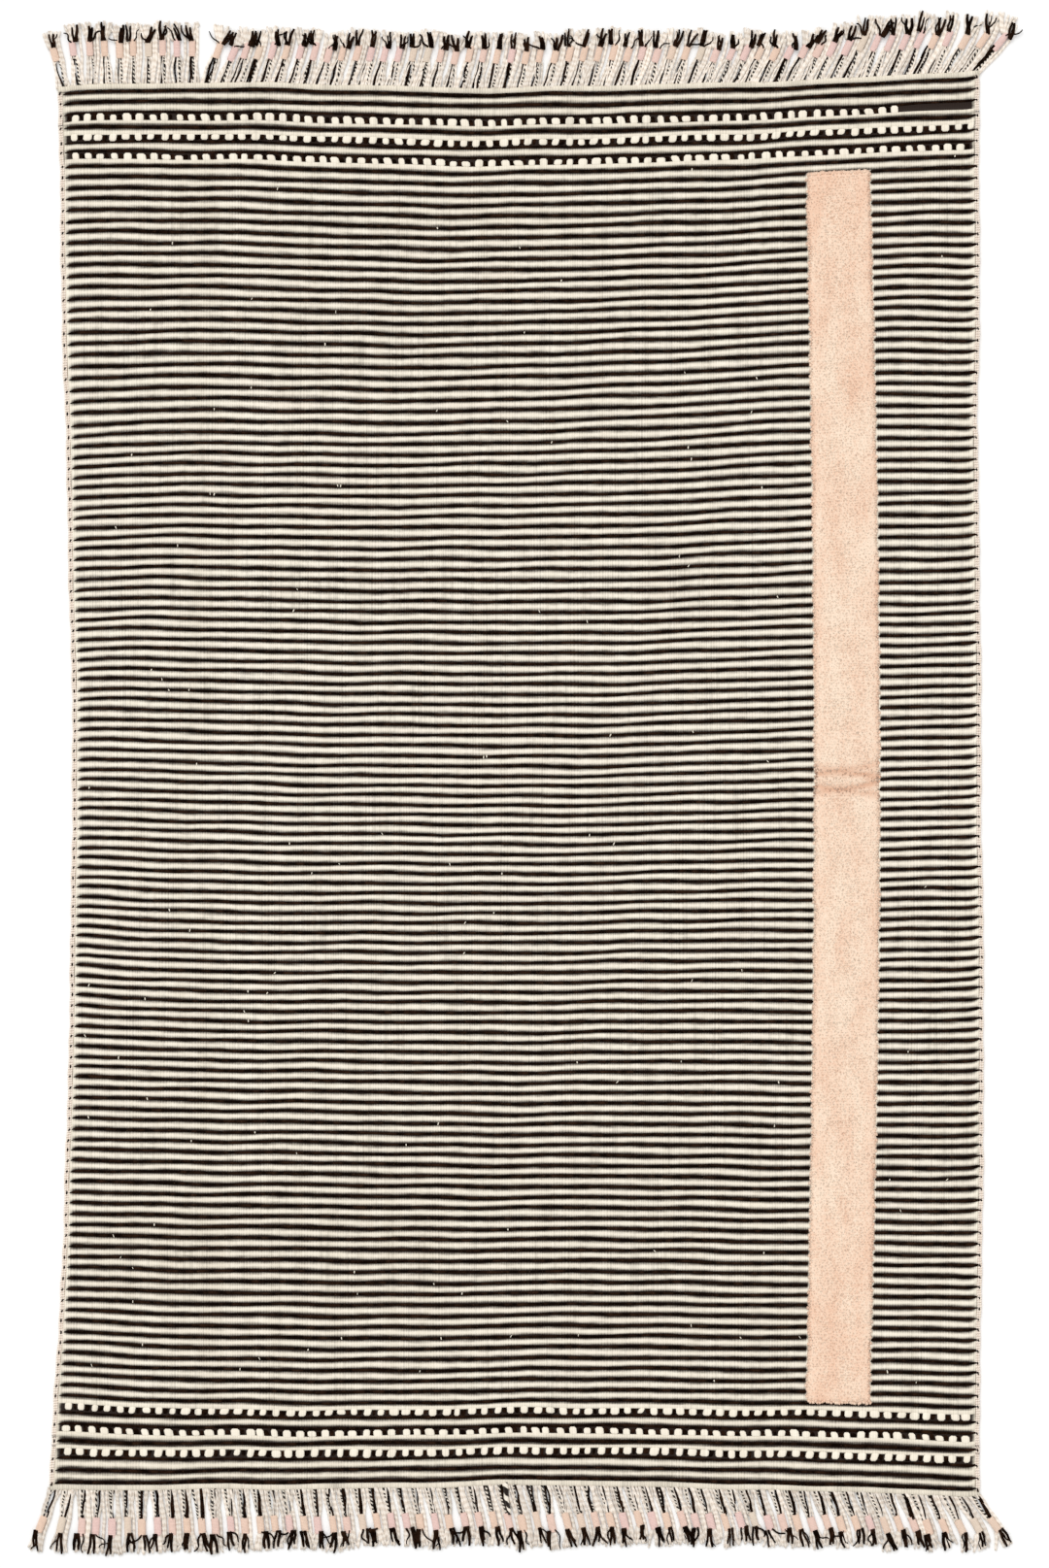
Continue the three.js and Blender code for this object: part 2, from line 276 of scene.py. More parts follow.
def hexToLinear(code):
    parts = [int(code[i:i + 2], 16) / 255 for i in (1, 3, 5)]
    return [p / 12.92 if p <= 0.04045 else ((p + 0.055) / 1.055) ** 2.4 for p in parts] + [1]


def addNode(tree, kind, inputs=(), **settings):
    # Inputs are given by name, or in their order. Each is a value, a hex colour, or the socket or
    # node that leads to it
    node = tree.nodes.new("ShaderNode" + kind)
    for name, value in settings.items():
        setattr(node, name, value)
    for name, value in inputs.items() if isinstance(inputs, dict) else enumerate(inputs):
        if isinstance(value, bpy.types.Node):
            value = value.outputs[0]
        if isinstance(value, bpy.types.NodeSocket):
            tree.links.new(value, node.inputs[name])
        else:
            node.inputs[name].default_value = hexToLinear(value) if isinstance(value, str) else value
    return node


def newMaterial(name, roughness, sheen, sheenTint, specular=0.2):
    # Returns what adds nodes to it and the place that they read, too
    material = bpy.data.materials.new(name)
    material.use_nodes = True
    inputs = material.node_tree.nodes["Principled BSDF"].inputs
    inputs["Roughness"].default_value = roughness
    inputs["Specular IOR Level"].default_value = specular
    inputs["Sheen Weight"].default_value = sheen
    inputs["Sheen Roughness"].default_value = 0.6
    inputs["Sheen Tint"].default_value = hexToLinear(sheenTint)
    add = partial(addNode, material.node_tree)
    return material, add, add("TexCoord").outputs["Object"]


def dress(material, colour, relief=None, strength=0.5, deep=0.5, hairs=None, fuzz=0):
    # Gives the shader its colour and a bump up to deep millimetres, with some of the hairs on it
    tree = material.node_tree
    inputs = tree.nodes["Principled BSDF"].inputs
    tree.links.new(colour.outputs[0], inputs["Base Color"])
    if hairs:
        relief = addNode(tree, "Math", [hairs, fuzz, relief], operation="MULTIPLY_ADD")
    if relief:
        bump = addNode(tree, "Bump", {"Height": relief, "Strength": strength, "Distance": deep / 1000})
        tree.links.new(bump.outputs[0], inputs["Normal"])
    return material


def strandParts(add):
    # Where a point of a tube lies: across the yarn, up, and along it in millimetres
    strand = add("Attribute", attribute_name="strand")
    return add("SeparateXYZ", [strand.outputs["Vector"]]).outputs


def twisted(add, turn):
    # The angle round a yarn whose plies take turn millimetres to go round once
    across, up, along = strandParts(add)
    angle = add("Math", [up, across], operation="ARCTAN2")
    return add("Math", [along, 2 * math.pi / turn, angle], operation="MULTIPLY_ADD")


def creamWool():
    # Undyed handspun wool, warp over a thick weft: matt, each thread a little lighter or darker
    # than the next, darker down in the grooves, where the dark weft shows between the threads and
    # painted shade darkens the foot of each rib
    look = {
        "thread": 3.3,  # mm from one warp thread to the next
        "light": "#f8f3e0",
        "shade": "#e3d9c6",
        "warm": "#f5e8da",
        # the weft's own dark, and painted shade at the rib's foot, towards a groove
        "groove": "#1d0e07",
        # How many spots a millimetre across and a row have, and how fine they are
        "darkerThread": (0.33, 0.09, 0.0),
        "streaks": (0.05, 0.04, 3.0),
        "ribs": (0.009, 0.9, 2.0),
        "stretches": (0.04, 2.6, 3.0),
    }
    material, add, place = newMaterial("creamWool", 0.95, 0.15, "#fff6ea")
    weave = add("Attribute", attribute_name="weave").outputs["Vector"]
    across, row, depth = add("SeparateXYZ", [weave]).outputs
    tone = add("Attribute", attribute_name="tone").outputs["Fac"]
    spots = {}
    for kind in ("darkerThread", "streaks", "ribs", "stretches"):
        perMm, perRow, detail = look[kind]
        spread = add("Mapping", {"Vector": weave, "Scale": (perMm, perRow, 0)})
        spots[kind] = add("TexNoise", {"Vector": spread, "Scale": 1.0, "Detail": detail})
    waver = add("TexNoise", {"Vector": weave, "Scale": 0.035, "Detail": 1.0})
    threads = add("Math", [across, 1 / look["thread"]], operation="MULTIPLY")
    phase = add("Math", [waver, 3.0, threads], operation="MULTIPLY_ADD")
    wave = add("Math", [phase, 0.5], operation="PINGPONG")
    ridge = add("MapRange", {"Value": wave, "From Max": 0.4}, interpolation_type="SMOOTHSTEP")
    # Here and there one warp thread is painted a little darker through several ribs
    darkerThread = add("MapRange", {
        "Value": spots["darkerThread"], "From Min": 0.62, "From Max": 0.72, "To Min": 1.0, "To Max": 0.86,
    })
    # Thread by thread, and changing from rib to rib
    spun = add("CombineXYZ", [threads, row])
    spunTone = add("TexNoise", {"Vector": spun, "Scale": 0.8, "Detail": 2.0})
    mottled = add("Math", [spunTone, spots["streaks"]], operation="ADD")
    toned = add("Math", [mottled, tone], operation="SUBTRACT")
    shaded = add("MapRange", {"Value": toned, "From Min": 0.75, "From Max": 1.5, "To Max": 0.85})
    light = add("MixRGB", [spots["ribs"], look["warm"], look["light"]])
    body = add("MixRGB", [shaded, light, look["shade"]])
    # Painted shade in the seams between the warp threads
    seamShade = add("MapRange", {"Value": ridge, "To Min": 0.94, "To Max": 1.0})
    relief = add("Math", [seamShade, darkerThread], operation="MULTIPLY")
    seamed = add("MixRGB", [1.0, body, relief], blend_type="MULTIPLY")
    # The dark weft shows more and more between the threads towards a groove, in scallops, and in
    # some stretches more than in others. The same darkening is also painted shade at the foot of
    # each rib
    fibres = add("TexNoise", {"Vector": place, "Scale": 900.0, "Detail": 2.0})
    ragged = add("Math", [fibres, 0.2, depth], operation="MULTIPLY_ADD")
    scallop = add("Math", [ridge, -0.09, ragged], operation="MULTIPLY_ADD")
    slack = add("Math", [spots["stretches"], 0.6, scallop], operation="MULTIPLY_ADD")
    groove = {"Value": slack, "From Min": 0.405, "From Max": 1.23}
    dark = add("MapRange", groove, interpolation_type="SMOOTHSTEP")
    final = add("MixRGB", [dark, seamed, look["groove"]])
    return dress(material, final, ridge, hairs=fibres, fuzz=0.5)


def blackWool():
    # Near-black handspun yarn, loosely twisted, with brown and grey hairs in it
    look = {"black": "#0e0603", "brown": "#2a190f", "hair": "#5d4635", "turn": 5.5}
    material, add, place = newMaterial("blackWool", 1.0, 0.0, "#b9a797", specular=0.02)
    ply = add("Math", [twisted(add, look["turn"])], operation="SINE")
    hairs = add("TexNoise", {"Vector": place, "Scale": 420.0, "Detail": 3.0})
    patches = add("TexNoise", {"Vector": place, "Scale": 85.0, "Detail": 2.0})
    brownish = add("MapRange", {"Value": patches, "From Min": 0.42, "From Max": 0.68})
    base = add("MixRGB", [brownish, look["black"], look["brown"]])
    flecked = add("MapRange", {"Value": hairs, "From Min": 0.62, "From Max": 0.8, "To Max": 0.6})
    final = add("MixRGB", [flecked, base, look["hair"]])
    return dress(material, final, ply, 0.6, hairs=hairs, fuzz=1.2)


def plyWool(name, first, second, share, turn):
    # Two plies twisted together, each of its own colour. share is how much of the second shows,
    # and turn how many millimetres one turn takes
    material, add, place = newMaterial(name, 0.95, 0.15, "#fff6ea")
    slack = add("TexNoise", {"Vector": place, "Scale": 55.0, "Detail": 1.0})
    loose = add("Math", [slack, 80 / turn, twisted(add, turn)], operation="MULTIPLY_ADD")
    ply = add("Math", [loose], operation="SINE")
    hairs = add("TexNoise", {"Vector": place, "Scale": 500.0, "Detail": 3.0})
    mixed = add("Math", [hairs, 0.9, ply], operation="MULTIPLY_ADD")
    low = 1.2 - 2 * share
    other = add("MapRange", {"Value": mixed, "From Min": low, "From Max": low + 0.4})
    pair = add("MixRGB", [other, first, second])
    shade = add("Attribute", attribute_name="shade")
    tinted = add("MixRGB", [1.0, pair, shade], blend_type="MULTIPLY")
    return dress(material, tinted, ply, 0.6, hairs=hairs, fuzz=0.8)


def pinkPile():
    # Short cut pile in dyed pale pink wool: it drinks the light, and the nap lies in faint streaks
    look = {"light": "#f0dac4", "shade": "#e8c3a9", "crease": "#d09c7c"}
    material, add, place = newMaterial("pinkPile", 1.0, 0.3, "#ffe9d8")
    edge = add("Attribute", attribute_name="edge").outputs["Fac"]
    crease = add("Attribute", attribute_name="crease").outputs["Fac"]
    napPlace = add("Mapping", {"Vector": place, "Scale": (330, 210, 0)})
    nap = add("TexNoise", {"Vector": napPlace, "Scale": 1.0, "Detail": 1.0})
    cloudPlace = add("Mapping", {"Vector": place, "Scale": (38, 12, 0)})
    clouds = add("TexNoise", {"Vector": cloudPlace, "Scale": 1.0, "Detail": 2.0})
    clouded = add("Math", [clouds, 1.4, nap], operation="MULTIPLY_ADD")
    edged = add("Math", [edge, 0.12, clouded], operation="MULTIPLY_ADD")
    uneven = add("MapRange", {"Value": edged, "From Min": 0.92, "From Max": 1.64})
    body = add("MixRGB", [uneven, look["light"], look["shade"]])
    # The wrinkles are darker: partly crushed pile, partly painted shade
    final = add("MixRGB", [crease, body, look["crease"]])
    fluff = add("TexNoise", {"Vector": place, "Scale": 700.0, "Detail": 3.0})
    return dress(material, final, fluff, 0.3, deep=0.4)


def wrapWool():
    # The yarn that binds each lock, dyed pale pink by hand: some locks pinker, some nearly beige
    look = {"pink": "#e7c6be", "peach": "#e8cab5", "beige": "#e0d0be", "turn": 1.9}
    material, add, place = newMaterial("wrapWool", 0.95, 0.2, "#fff2ea")
    shade = add("Attribute", attribute_name="shade").outputs["Fac"]
    along = strandParts(add)[2]
    turns = add("Math", [along, 2 * math.pi / look["turn"]], operation="MULTIPLY")
    rings = add("Math", [turns], operation="SINE")
    hairs = add("TexNoise", {"Vector": place, "Scale": 300.0, "Detail": 2.0})
    toPeach = add("MapRange", {"Value": shade, "From Min": 0.25, "From Max": 0.6})
    toBeige = add("MapRange", {"Value": shade, "From Min": 0.86, "From Max": 1.0})
    pinker = add("MixRGB", [toPeach, look["pink"], look["peach"]])
    dyed = add("MixRGB", [toBeige, pinker, look["beige"]])
    uneven = add("MapRange", {"Value": hairs, "To Min": 0.86, "To Max": 1.08})
    final = add("MixRGB", [1.0, dyed, uneven], blend_type="MULTIPLY")
    return dress(material, final, rings)


def cordWool():
    # The edge warps, bound round and round in cream with a hint of pink
    look = {"light": "#f6ecdf", "shade": "#eddccd", "seamShade": "#b19c8a", "turn": 3.2}
    material, add, place = newMaterial("cordWool", 0.95, 0.2, "#fff2e6")
    across, _, along = strandParts(add)
    binding = add("Math", [along, 2 * math.pi / look["turn"], across], operation="MULTIPLY_ADD")
    threads = add("Math", [binding], operation="SINE")
    hairs = add("TexNoise", {"Vector": place, "Scale": 350.0, "Detail": 3.0})
    patches = add("TexNoise", {"Vector": place, "Scale": 30.0, "Detail": 2.0})
    body = add("MixRGB", [patches, look["light"], look["shade"]])
    # Painted shade between the turns of the binding, in the seam colour
    ragged = add("Math", [hairs, -0.8, threads], operation="MULTIPLY_ADD")
    between = add("MapRange", {"Value": ragged, "From Min": -0.95, "From Max": -1.5})
    final = add("MixRGB", [between, body, look["seamShade"]])
    return dress(material, final, threads, 0.6, hairs=hairs, fuzz=0.8)


def paleFloor():
    # A white painted studio floor, matt, with the least unevenness
    look = {"light": "#f8f8f8", "shade": "#f4f4f3"}
    material, add, place = newMaterial("whitePaint", 0.9, 0.0, "#ffffff")
    brushed = add("TexNoise", {"Vector": place, "Scale": 1.5, "Detail": 2.0})
    final = add("MixRGB", [brushed, look["light"], look["shade"]])
    return dress(material, final)


cream = creamWool()
black = blackWool()
creamPly = plyWool("creamPlyWool", "#f6ece0", "#e6d8c9", 0.35, 7.5)
pepperPly = plyWool("pepperPlyWool", "#ebe1d2", "#170d08", 0.54, 5.4)
marledPly = plyWool("marledPlyWool", "#efe6d7", "#170d08", 0.58, 17)
wrapped = wrapWool()
print("mixed the wools")

# Ground: one cloth of ribs and grooves

ground = {
    "ribTop": 5.6,
    "toothBed": 4.1,  # the dark cloth between the border's beads
    "pileBed": 3.0,
    "closed": 4.8,  # the least height where a groove closes, at a selvedge and before the pile
    "pitch": 13.7,  # mm from one dark row to the next
    "flat": (1.195, 1.855),  # metres, the cloth's own width and length
    "tuck": 0.8,  # how far the cloth goes under the cord at each side
    "edge": (0, 2.2, 5.5, 10),  # mm of the first columns from each side
    "fade": (1, 0.45, 0.85, 1),  # how dark their grooves are painted
    "inside": 17,  # mm from each side to the first of the even columns
    "leftColumns": 38,
    "rightColumns": 7,
    "beforePile": 4,  # mm between the even columns and the pile
    "afterPile": 3.5,
    "narrowRib": 12,  # mm, and how dark the crown of a narrower rib is painted: weft and painted shade
    "narrowWeftAndShade": 0.1,
    "closedWeftAndShade": 0.3,  # how dark a closed groove is painted in the top border: weft and painted shade
    "tightWeftAndShade": 0.12,  # how much darker a groove is painted where the weft is beaten tightly: weft and painted shade
    "tightShade": 0.15,  # and how much darker its ribs are painted: painted shade towards the rug's ends
    "borderShade": 0.25,  # how much darker the borders are, and from where
    "borderFrom": 790,
    "borderFade": 40,
}
# Half a rib, from the dark row beside it to its crown, in millimetres. depth drives how dark the
# cream is painted towards the groove, for the weft between its threads and as painted shade at the
# rib's foot: 1 at the dark row, 0 at the crown
ribSide = [
    dict(out=0, depth=1.0, height=3.3),
    dict(out=2.0, depth=0.78, height=3.9),
    dict(out=4.2, depth=0.39, height=5.05),
]
# The other kind of side, where a rib runs straight into a row of beads
openSide = [
    dict(out=0.1, depth=0.25, height=4.9),
    dict(out=1.6, depth=0.1, height=5.4),
]
# One end border, from its outermost dark row (0) to the field (1). top and bottom are how thick the
# dark row is there against one in the field, and teeth says that the next course is beads with
# dark teeth
borderCourses = [
    dict(at=0.0, top=1.2, bottom=1.34, teeth=False),
    dict(at=0.143, top=1.1, bottom=1.1, teeth=False),
    dict(at=0.286, top=0.89, bottom=0.98, teeth=True),
    dict(at=0.395, top=0, bottom=0, teeth=False),
    dict(at=0.481, top=1.1, bottom=1.22, teeth=False),
    dict(at=0.58, top=0, bottom=0, teeth=True),
    dict(at=0.676, top=0.97, bottom=1.08, teeth=False),
    dict(at=0.808, top=0.91, bottom=0.98, teeth=True),
    dict(at=0.905, top=0, bottom=0, teeth=False),
    dict(at=1.0, top=1, bottom=1, teeth=False),
]
# Where the cloth is thinned for the pile: its rows, its edges in millimetres at both ends, how far
# they bulge to the right between, and how wide the slope at each side is
panel = {
    "firstRow": 1,
    "lastRow": 117.5,
    "left": 377,
    "leftBulge": 10.5,
    "right": 457.5,
    "rightBulge": 13,
    "slope": 1.2,
}
# Places where the cream is lighter (above 0) or darker than elsewhere
toneMarks = [
    dict(left=-441, right=-397, low=-900, high=900, tone=-0.16),
    dict(left=-377, right=-339, low=-900, high=900, tone=0.14),
    dict(left=-562, right=-71, low=44, high=58, tone=0.3),
    dict(left=-390, right=-20, low=-73, high=-59, tone=0.3),
    dict(left=-59, right=107, low=261, high=275, tone=0.3),
    dict(left=-590, right=360, low=730, high=762, tone=-0.14),
    dict(left=-377, right=-46, low=600, high=634, tone=-0.14),
    dict(left=-575, right=-110, low=-676, high=-561, tone=-0.18),
]


def panelEdges(row):
    bulge = np.sin(np.pi * row / rug["fieldRows"])
    return panel["left"] + panel["leftBulge"] * bulge, panel["right"] + panel["rightBulge"] * bulge


def sideOf(dark):
    # The side that a rib shows to a dark row of this thickness, or to beads
    return [{**side, "out": side["out"] * dark} for side in ribSide] if dark else openSide


def ribStations(low, high, darkLow, darkHigh):
    # (millimetres, depth, height) across one rib from low to high, without the dark row at high
    found = [(low + side["out"], side["depth"], side["height"]) for side in sideOf(darkLow)]
    dirt = 0.0 if high - low > ground["narrowRib"] else ground["narrowWeftAndShade"]
    found.append(((low + high) / 2, dirt, ground["ribTop"]))
    far = sideOf(darkHigh)[1:] if darkHigh else openSide
    return found + [(high - side["out"], side["depth"], side["height"]) for side in reversed(far)]


def borderStations(end):
    # The stations of one end border, as rows from its outermost dark row, depth and height
    step, bed = 1.3, ground["toothBed"]
    found = []
    for course, following in zip(borderCourses, borderCourses[1:]):
        low, high = course["at"] * borderMm, following["at"] * borderMm
        if not course["teeth"]:
            found += ribStations(low, high, course[end], following[end])
            continue
        if course[end]:
            found += [(low, 1.0, ribSide[0]["height"]), (low + step, 1.0, bed)]
        else:
            found.append((low + 0.2, 1.0, bed))
        found.append((high - step if following[end] else high, 1.0, bed))
    return np.array(found) * (rug["borderRows"], 1, 1) / (borderMm, 1, 1)


def weaveStations():
    # Every station along the rug as (row, depth, height)
    wide, rows = rug["borderRows"], rug["fieldRows"]
    first, field, last = ([(row, 1.0, ribSide[0]["height"])] for row in (firstRow, rows, lastRow))
    rib = np.array(ribStations(0, ground["pitch"], 1, 1)) / (ground["pitch"], 1, 1)
    ribs = [rib + (row, 0, 0) for row in range(rows)]
    top = borderStations("top") - (wide, 0, 0)
    bottom = borderStations("bottom")[::-1] * (-1, 1, 1) + (rows + wide, 0, 0)
    return np.concatenate([first, top, *ribs, field, bottom, last])


def groundColumns(row):
    left = sideAt(row, "sideLeft") + rug["selvedge"] - ground["tuck"]
    right = sideAt(row, "sideRight") - rug["selvedge"] + ground["tuck"]
    panelLeft, panelRight = panelEdges(row)
    edge, inside, slope = np.array(ground["edge"]), ground["inside"], panel["slope"]
    return np.concatenate([
        left[:, None] + edge,
        np.linspace(left + inside, panelLeft - ground["beforePile"], ground["leftColumns"], axis=1),
        np.stack([panelLeft, panelLeft + slope, panelRight - slope, panelRight], 1),
        np.linspace(panelRight + ground["afterPile"], right - inside, ground["rightColumns"], axis=1),
        right[:, None] - edge[::-1],
    ], 1)


def makeGround():
    stations = weaveStations()
    columns = groundColumns(stations[:, 0])
    across, along = columns.shape[1] - 1, len(stations) - 1
    piece, column, station, onTop = slab("groundCloth", across, along)
    # The grid counts upwards, and the rows count down the rug
    station = along - station
    x = columns[station, column]
    row, depth, height = stations[station].T
    y = weaveHeight(row, x)
    # Grooves close at the selvedges and before the pile
    firstPile = len(ground["edge"]) + ground["leftColumns"]
    underPile = (row > panel["firstRow"] - 0.1) & (row < panel["lastRow"] + 0.1)
    atPile = (column >= firstPile) & (column <= firstPile + 3)
    closing = (column == 0) | (column == across) | (underPile & atPile)
    height = np.where(closing, np.maximum(height, ground["closed"]), height)
    bedded = underPile & (column > firstPile) & (column < firstPile + 3)
    height = np.where(bedded, ground["pileBed"], height)
    depth = np.where(closing, ground["closedWeftAndShade"] * (row < panel["firstRow"] + 0.1), depth)
    fade = np.choose(np.minimum(column, across - column).clip(0, 3), ground["fade"])
    # Grooves are painted darker towards the rug's ends: the weft shows more there, and painted shade
    depth = depth * fade * (1 + ground["tightWeftAndShade"] * tightness(row))
    writePoints(piece.data, np.stack([x, y, np.where(onTop, height, 0)], -1))
    writeValues(piece.data, "weave", np.stack([x, row, depth], -1))
    tone = np.zeros(len(x))
    for mark in toneMarks:
        inside = (x > mark["left"]) & (x < mark["right"]) & (y > mark["low"]) & (y < mark["high"])
        tone += mark["tone"] * inside
    inBorder = np.clip((np.abs(y) - ground["borderFrom"]) / ground["borderFade"], 0, 1)
    # The ribs are painted darker towards the rug's ends, as painted shade; the borders are darker too
    tone -= ground["borderShade"] * inBorder + ground["tightShade"] * tightness(row)
    writeValues(piece.data, "tone", tone)
    return finishPiece(piece, cream, ["ground"])


groundCloth = makeGround()
print("wove the ground:", len(groundCloth.data.vertices), "points")

# Dark rows: a black weft in each groove

darkWeft = {
    "half": 1.8,
    "rise": 0.95,
    "height": 3.9,
    "steps": 60,  # from point to point
    "shortSteps": 16,
    "close": (0, 3, 7),  # mm of the first points from each end, and where the even ones begin
    "evenFrom": 12,
    "leftOfPile": 2.6,  # mm from the left edge of the panel's bed
    "rightOfPile": 0.4,
    "ragged": 3,  # mm that the ends differ from row to row
    "overCord": 2.5,  # how far the rows run on over the inner cord at the right, and how high
    "climb": 1.1,
    "climbFrom": 8,  # mm from the end, and over how many it climbs
    "climbOver": 5,
    "taper": 9,  # mm over which a row thins out at its left end
    "cordTaper": 6,  # over the right cord
    "pileTaper": 3,  # and beside the pile
    "blunt": 1.5,  # mm that the taper would run on beyond an end
    "droop": 1.3,  # how far the left end hangs, and over how many mm
    "droopOver": 4,
    "kink": 0.3,
    "tighter": 0.07,  # how much thicker the rows show where the weft is beaten tightly
    "differ": 0.22,  # how much one row is thicker than another
}
strayWaves = [(0.25, 41, 5.3, 0), (0.2, 23, 2.9, 0)]
thicknessWaves = [(0.14, 57, 3.7, 0), (0.12, 21, 7.1, 0), (0.1, 11, 4.3, 0)]


def darkRow(row, start, end, half, steps, startTaper, endTaper, climb):
    # Centre line and width of one black weft from start to end
    length = end - start
    close, evenFrom = np.array(darkWeft["close"]), darkWeft["evenFrom"]
    even = np.linspace(evenFrom, length - evenFrom, steps + 1 - 2 * len(close))
    share = np.concatenate([close, even, length - close[::-1]])
    x = start + share
    kinks = darkWeft["kink"] * np.sin(x / 10 + row * 2.3) * np.sin(x / 37 + row)
    kinks = kinks - darkWeft["droop"] * np.exp(-share / darkWeft["droopOver"])
    y = weaveHeight(np.full_like(x, row), x) + ripple(strayWaves, row, x) + kinks
    uneven = 1 + ripple(thicknessWaves, row, x) + darkWeft["differ"] * scatter(round(row * 10), 9)
    blunt = darkWeft["blunt"]
    taper = np.minimum(1, (share + blunt) / startTaper) * np.minimum(1, (length - share + blunt) / endTaper)
    climbed = ((share - length + darkWeft["climbFrom"]) / darkWeft["climbOver"]).clip(0, 1)
    z = darkWeft["height"] + climb * climbed
    return np.stack([x, y, z], -1), half * uneven * taper


def makeDarkRows():
    wide, rows, half = rug["borderRows"], rug["fieldRows"], darkWeft["half"]
    courses = [course for course in borderCourses if course["top"]]
    full = [((course["at"] - 1) * wide, course["top"] * half) for course in courses]
    full += [(rows + (1 - course["at"]) * wide, course["bottom"] * half) for course in courses]
    inset = rug["selvedge"] - 1
    rightInset = inset - darkWeft["overCord"]
    steps, shortSteps = darkWeft["steps"], darkWeft["shortSteps"]
    taper, cordTaper, pileTaper = darkWeft["taper"], darkWeft["cordTaper"], darkWeft["pileTaper"]
    climb, ragged = darkWeft["climb"], darkWeft["ragged"]
    long, short = [], []
    for row, thick in full:
        left, right = sideAt(row, "sideLeft") + inset, sideAt(row, "sideRight") - rightInset
        long.append(darkRow(row, left, right, thick, steps, taper, cordTaper, climb))
    for row in range(1, rows):
        left = sideAt(row, "sideLeft") + inset
        right = sideAt(row, "sideRight") - rightInset + ragged * scatter(row, 19)
        panelLeft, panelRight = panelEdges(row)
        thick = half * (1 + darkWeft["tighter"] * tightness(row))
        stop = panelLeft - darkWeft["leftOfPile"] - ragged * scatter(row, 5)
        start = panelRight + darkWeft["rightOfPile"] + ragged * scatter(row, 6)
        long.append(darkRow(row, left, stop, thick, steps, taper, pileTaper, 0))
        short.append(darkRow(row, start, right, thick, shortSteps, pileTaper, cordTaper, climb))
    pieces = []
    for name, lines in (("darkRowsLeft", long), ("darkRowsRight", short)):
        centre, width = (np.array(part) for part in zip(*lines))
        piece, _ = tubes(name, centre, width, darkWeft["rise"] * (width / half) ** 0.5, 6)
        pieces.append(finishPiece(piece, black))
    return pieces


darkRows = makeDarkRows()
print("laid the dark rows")

# Beads, teeth and specks: the cream and black floats of the borders

beads = {
    "pitch": 17.1,
    "bead": 9.9,
    "beadDiffers": 0.12,
    "beadLean": 0.8,  # mm that the end at its line lies to the left, and how much that differs
    "beadLeans": 1.1,
    "beadHigh": 2.7,
    "beadLift": 4.25,
    "beadLifts": 0.15,
    "tooth": 5.6,
    "toothDiffers": 0.22,
    "toothLong": 0.86,  # against the bead beside it
    "toothLongDiffers": 0.1,
    "toothLean": 1.2,
    "toothLeans": 1.8,
    "toothHigh": 2.2,
    "toothLift": 3.9,
    "firstBead": -617,
    "lastBead": 600,
    "leftClear": 13,  # mm from the rug's edges to the first and last bead
    "rightClear": 10,
    "barFrom": 492,  # in the outermost top row the beads stop here and the row runs on black
    "toothClear": 6,  # and that much more to the last tooth
    "specks": 130,
    "speckWide": (0.8, 1.5),
    "speckLong": (2.4, 4.4),
    "speckStrays": 0.06,  # rows
    "speckHigh": 1.6,
    "speckLift": 4.45,
    "speckReach": 575,  # mm from mid width
    "speckClear": 12,  # mm from the pile
}
# line is the dark row that the teeth hang from. low and high are the ends of the beads, which
# reach into the open rib
toothRows = [
    dict(line=0.286, low=0.31, high=0.412, salt=3),
    dict(line=0.676, low=0.563, high=0.654, salt=7),
    dict(line=0.808, low=0.831, high=0.922, salt=13),
]


def beadPlaces(rng):
    # (x, row, length, 1 where its line is further up the rug and -1 where it isn't) of every bead
    # and of every tooth
    pitch = beads["pitch"]
    count = int((beads["lastBead"] - beads["firstBead"]) / pitch) + 1
    beadAt, toothAt = [], []
    for end, way in (("top", 1), ("bottom", -1)):
        for course in toothRows:
            middle = (course["low"] + course["high"]) / 2
            row = (middle - 1) * rug["borderRows"]
            row = row if end == "top" else rug["fieldRows"] - row
            long = (course["high"] - course["low"]) * borderMm
            offset = scatter(course["salt"], 1 if end == "top" else 2) * pitch
            x = beads["firstBead"] + offset + np.arange(count) * pitch + rng.normal(0, 1, count)
            lineWay = np.sign(middle - course["line"]) * way
            left = sideAt(row, "sideLeft") + beads["leftClear"]
            right = sideAt(row, "sideRight") - beads["rightClear"]
            stop = beads["barFrom"] if end == "top" and course is toothRows[0] else right
            for place in x:
                if left < place < min(right, stop):
                    beadAt.append((place, row, long, lineWay))
                if left < place + pitch / 2 < min(right - beads["toothClear"], stop):
                    toothAt.append((place + pitch / 2, row, long, lineWay))
    return np.array(beadAt).T, np.array(toothAt).T


def makeBeads():
    rng = np.random.default_rng(rug["seed"])
    (beadX, beadRow, beadLong, beadWay), (toothX, toothRow, toothLong, toothWay) = beadPlaces(rng)
    n = len(beadX)
    size = (
        beads["bead"] * (1 + beads["beadDiffers"] * rng.normal(0, 1, n)).clip(0.75, 1.25),
        beadLong * (1 + beads["beadDiffers"] * rng.normal(0, 1, n)).clip(0.75, 1.15),
        beads["beadHigh"],
    )
    lean = -beads["beadLean"] * beadWay + rng.normal(0, beads["beadLeans"], n)
    lift = beads["beadLift"] + beads["beadLifts"] * rng.normal(0, 1, n)
    row = nubs("borderBeads", cream, beadX, beadRow, lift, size, lean)
    n = len(toothX)
    size = (
        beads["tooth"] * (1 + beads["toothDiffers"] * rng.normal(0, 1, n)).clip(0.6, 1.4),
        toothLong * (beads["toothLong"] + beads["toothLongDiffers"] * rng.normal(0, 1, n)).clip(0.7, 1.05),
        beads["toothHigh"],
    )
    lean = -beads["toothLean"] * toothWay + rng.normal(0, beads["toothLeans"], n)
    return row, nubs("borderTeeth", black, toothX, toothRow, beads["toothLift"], size, lean)


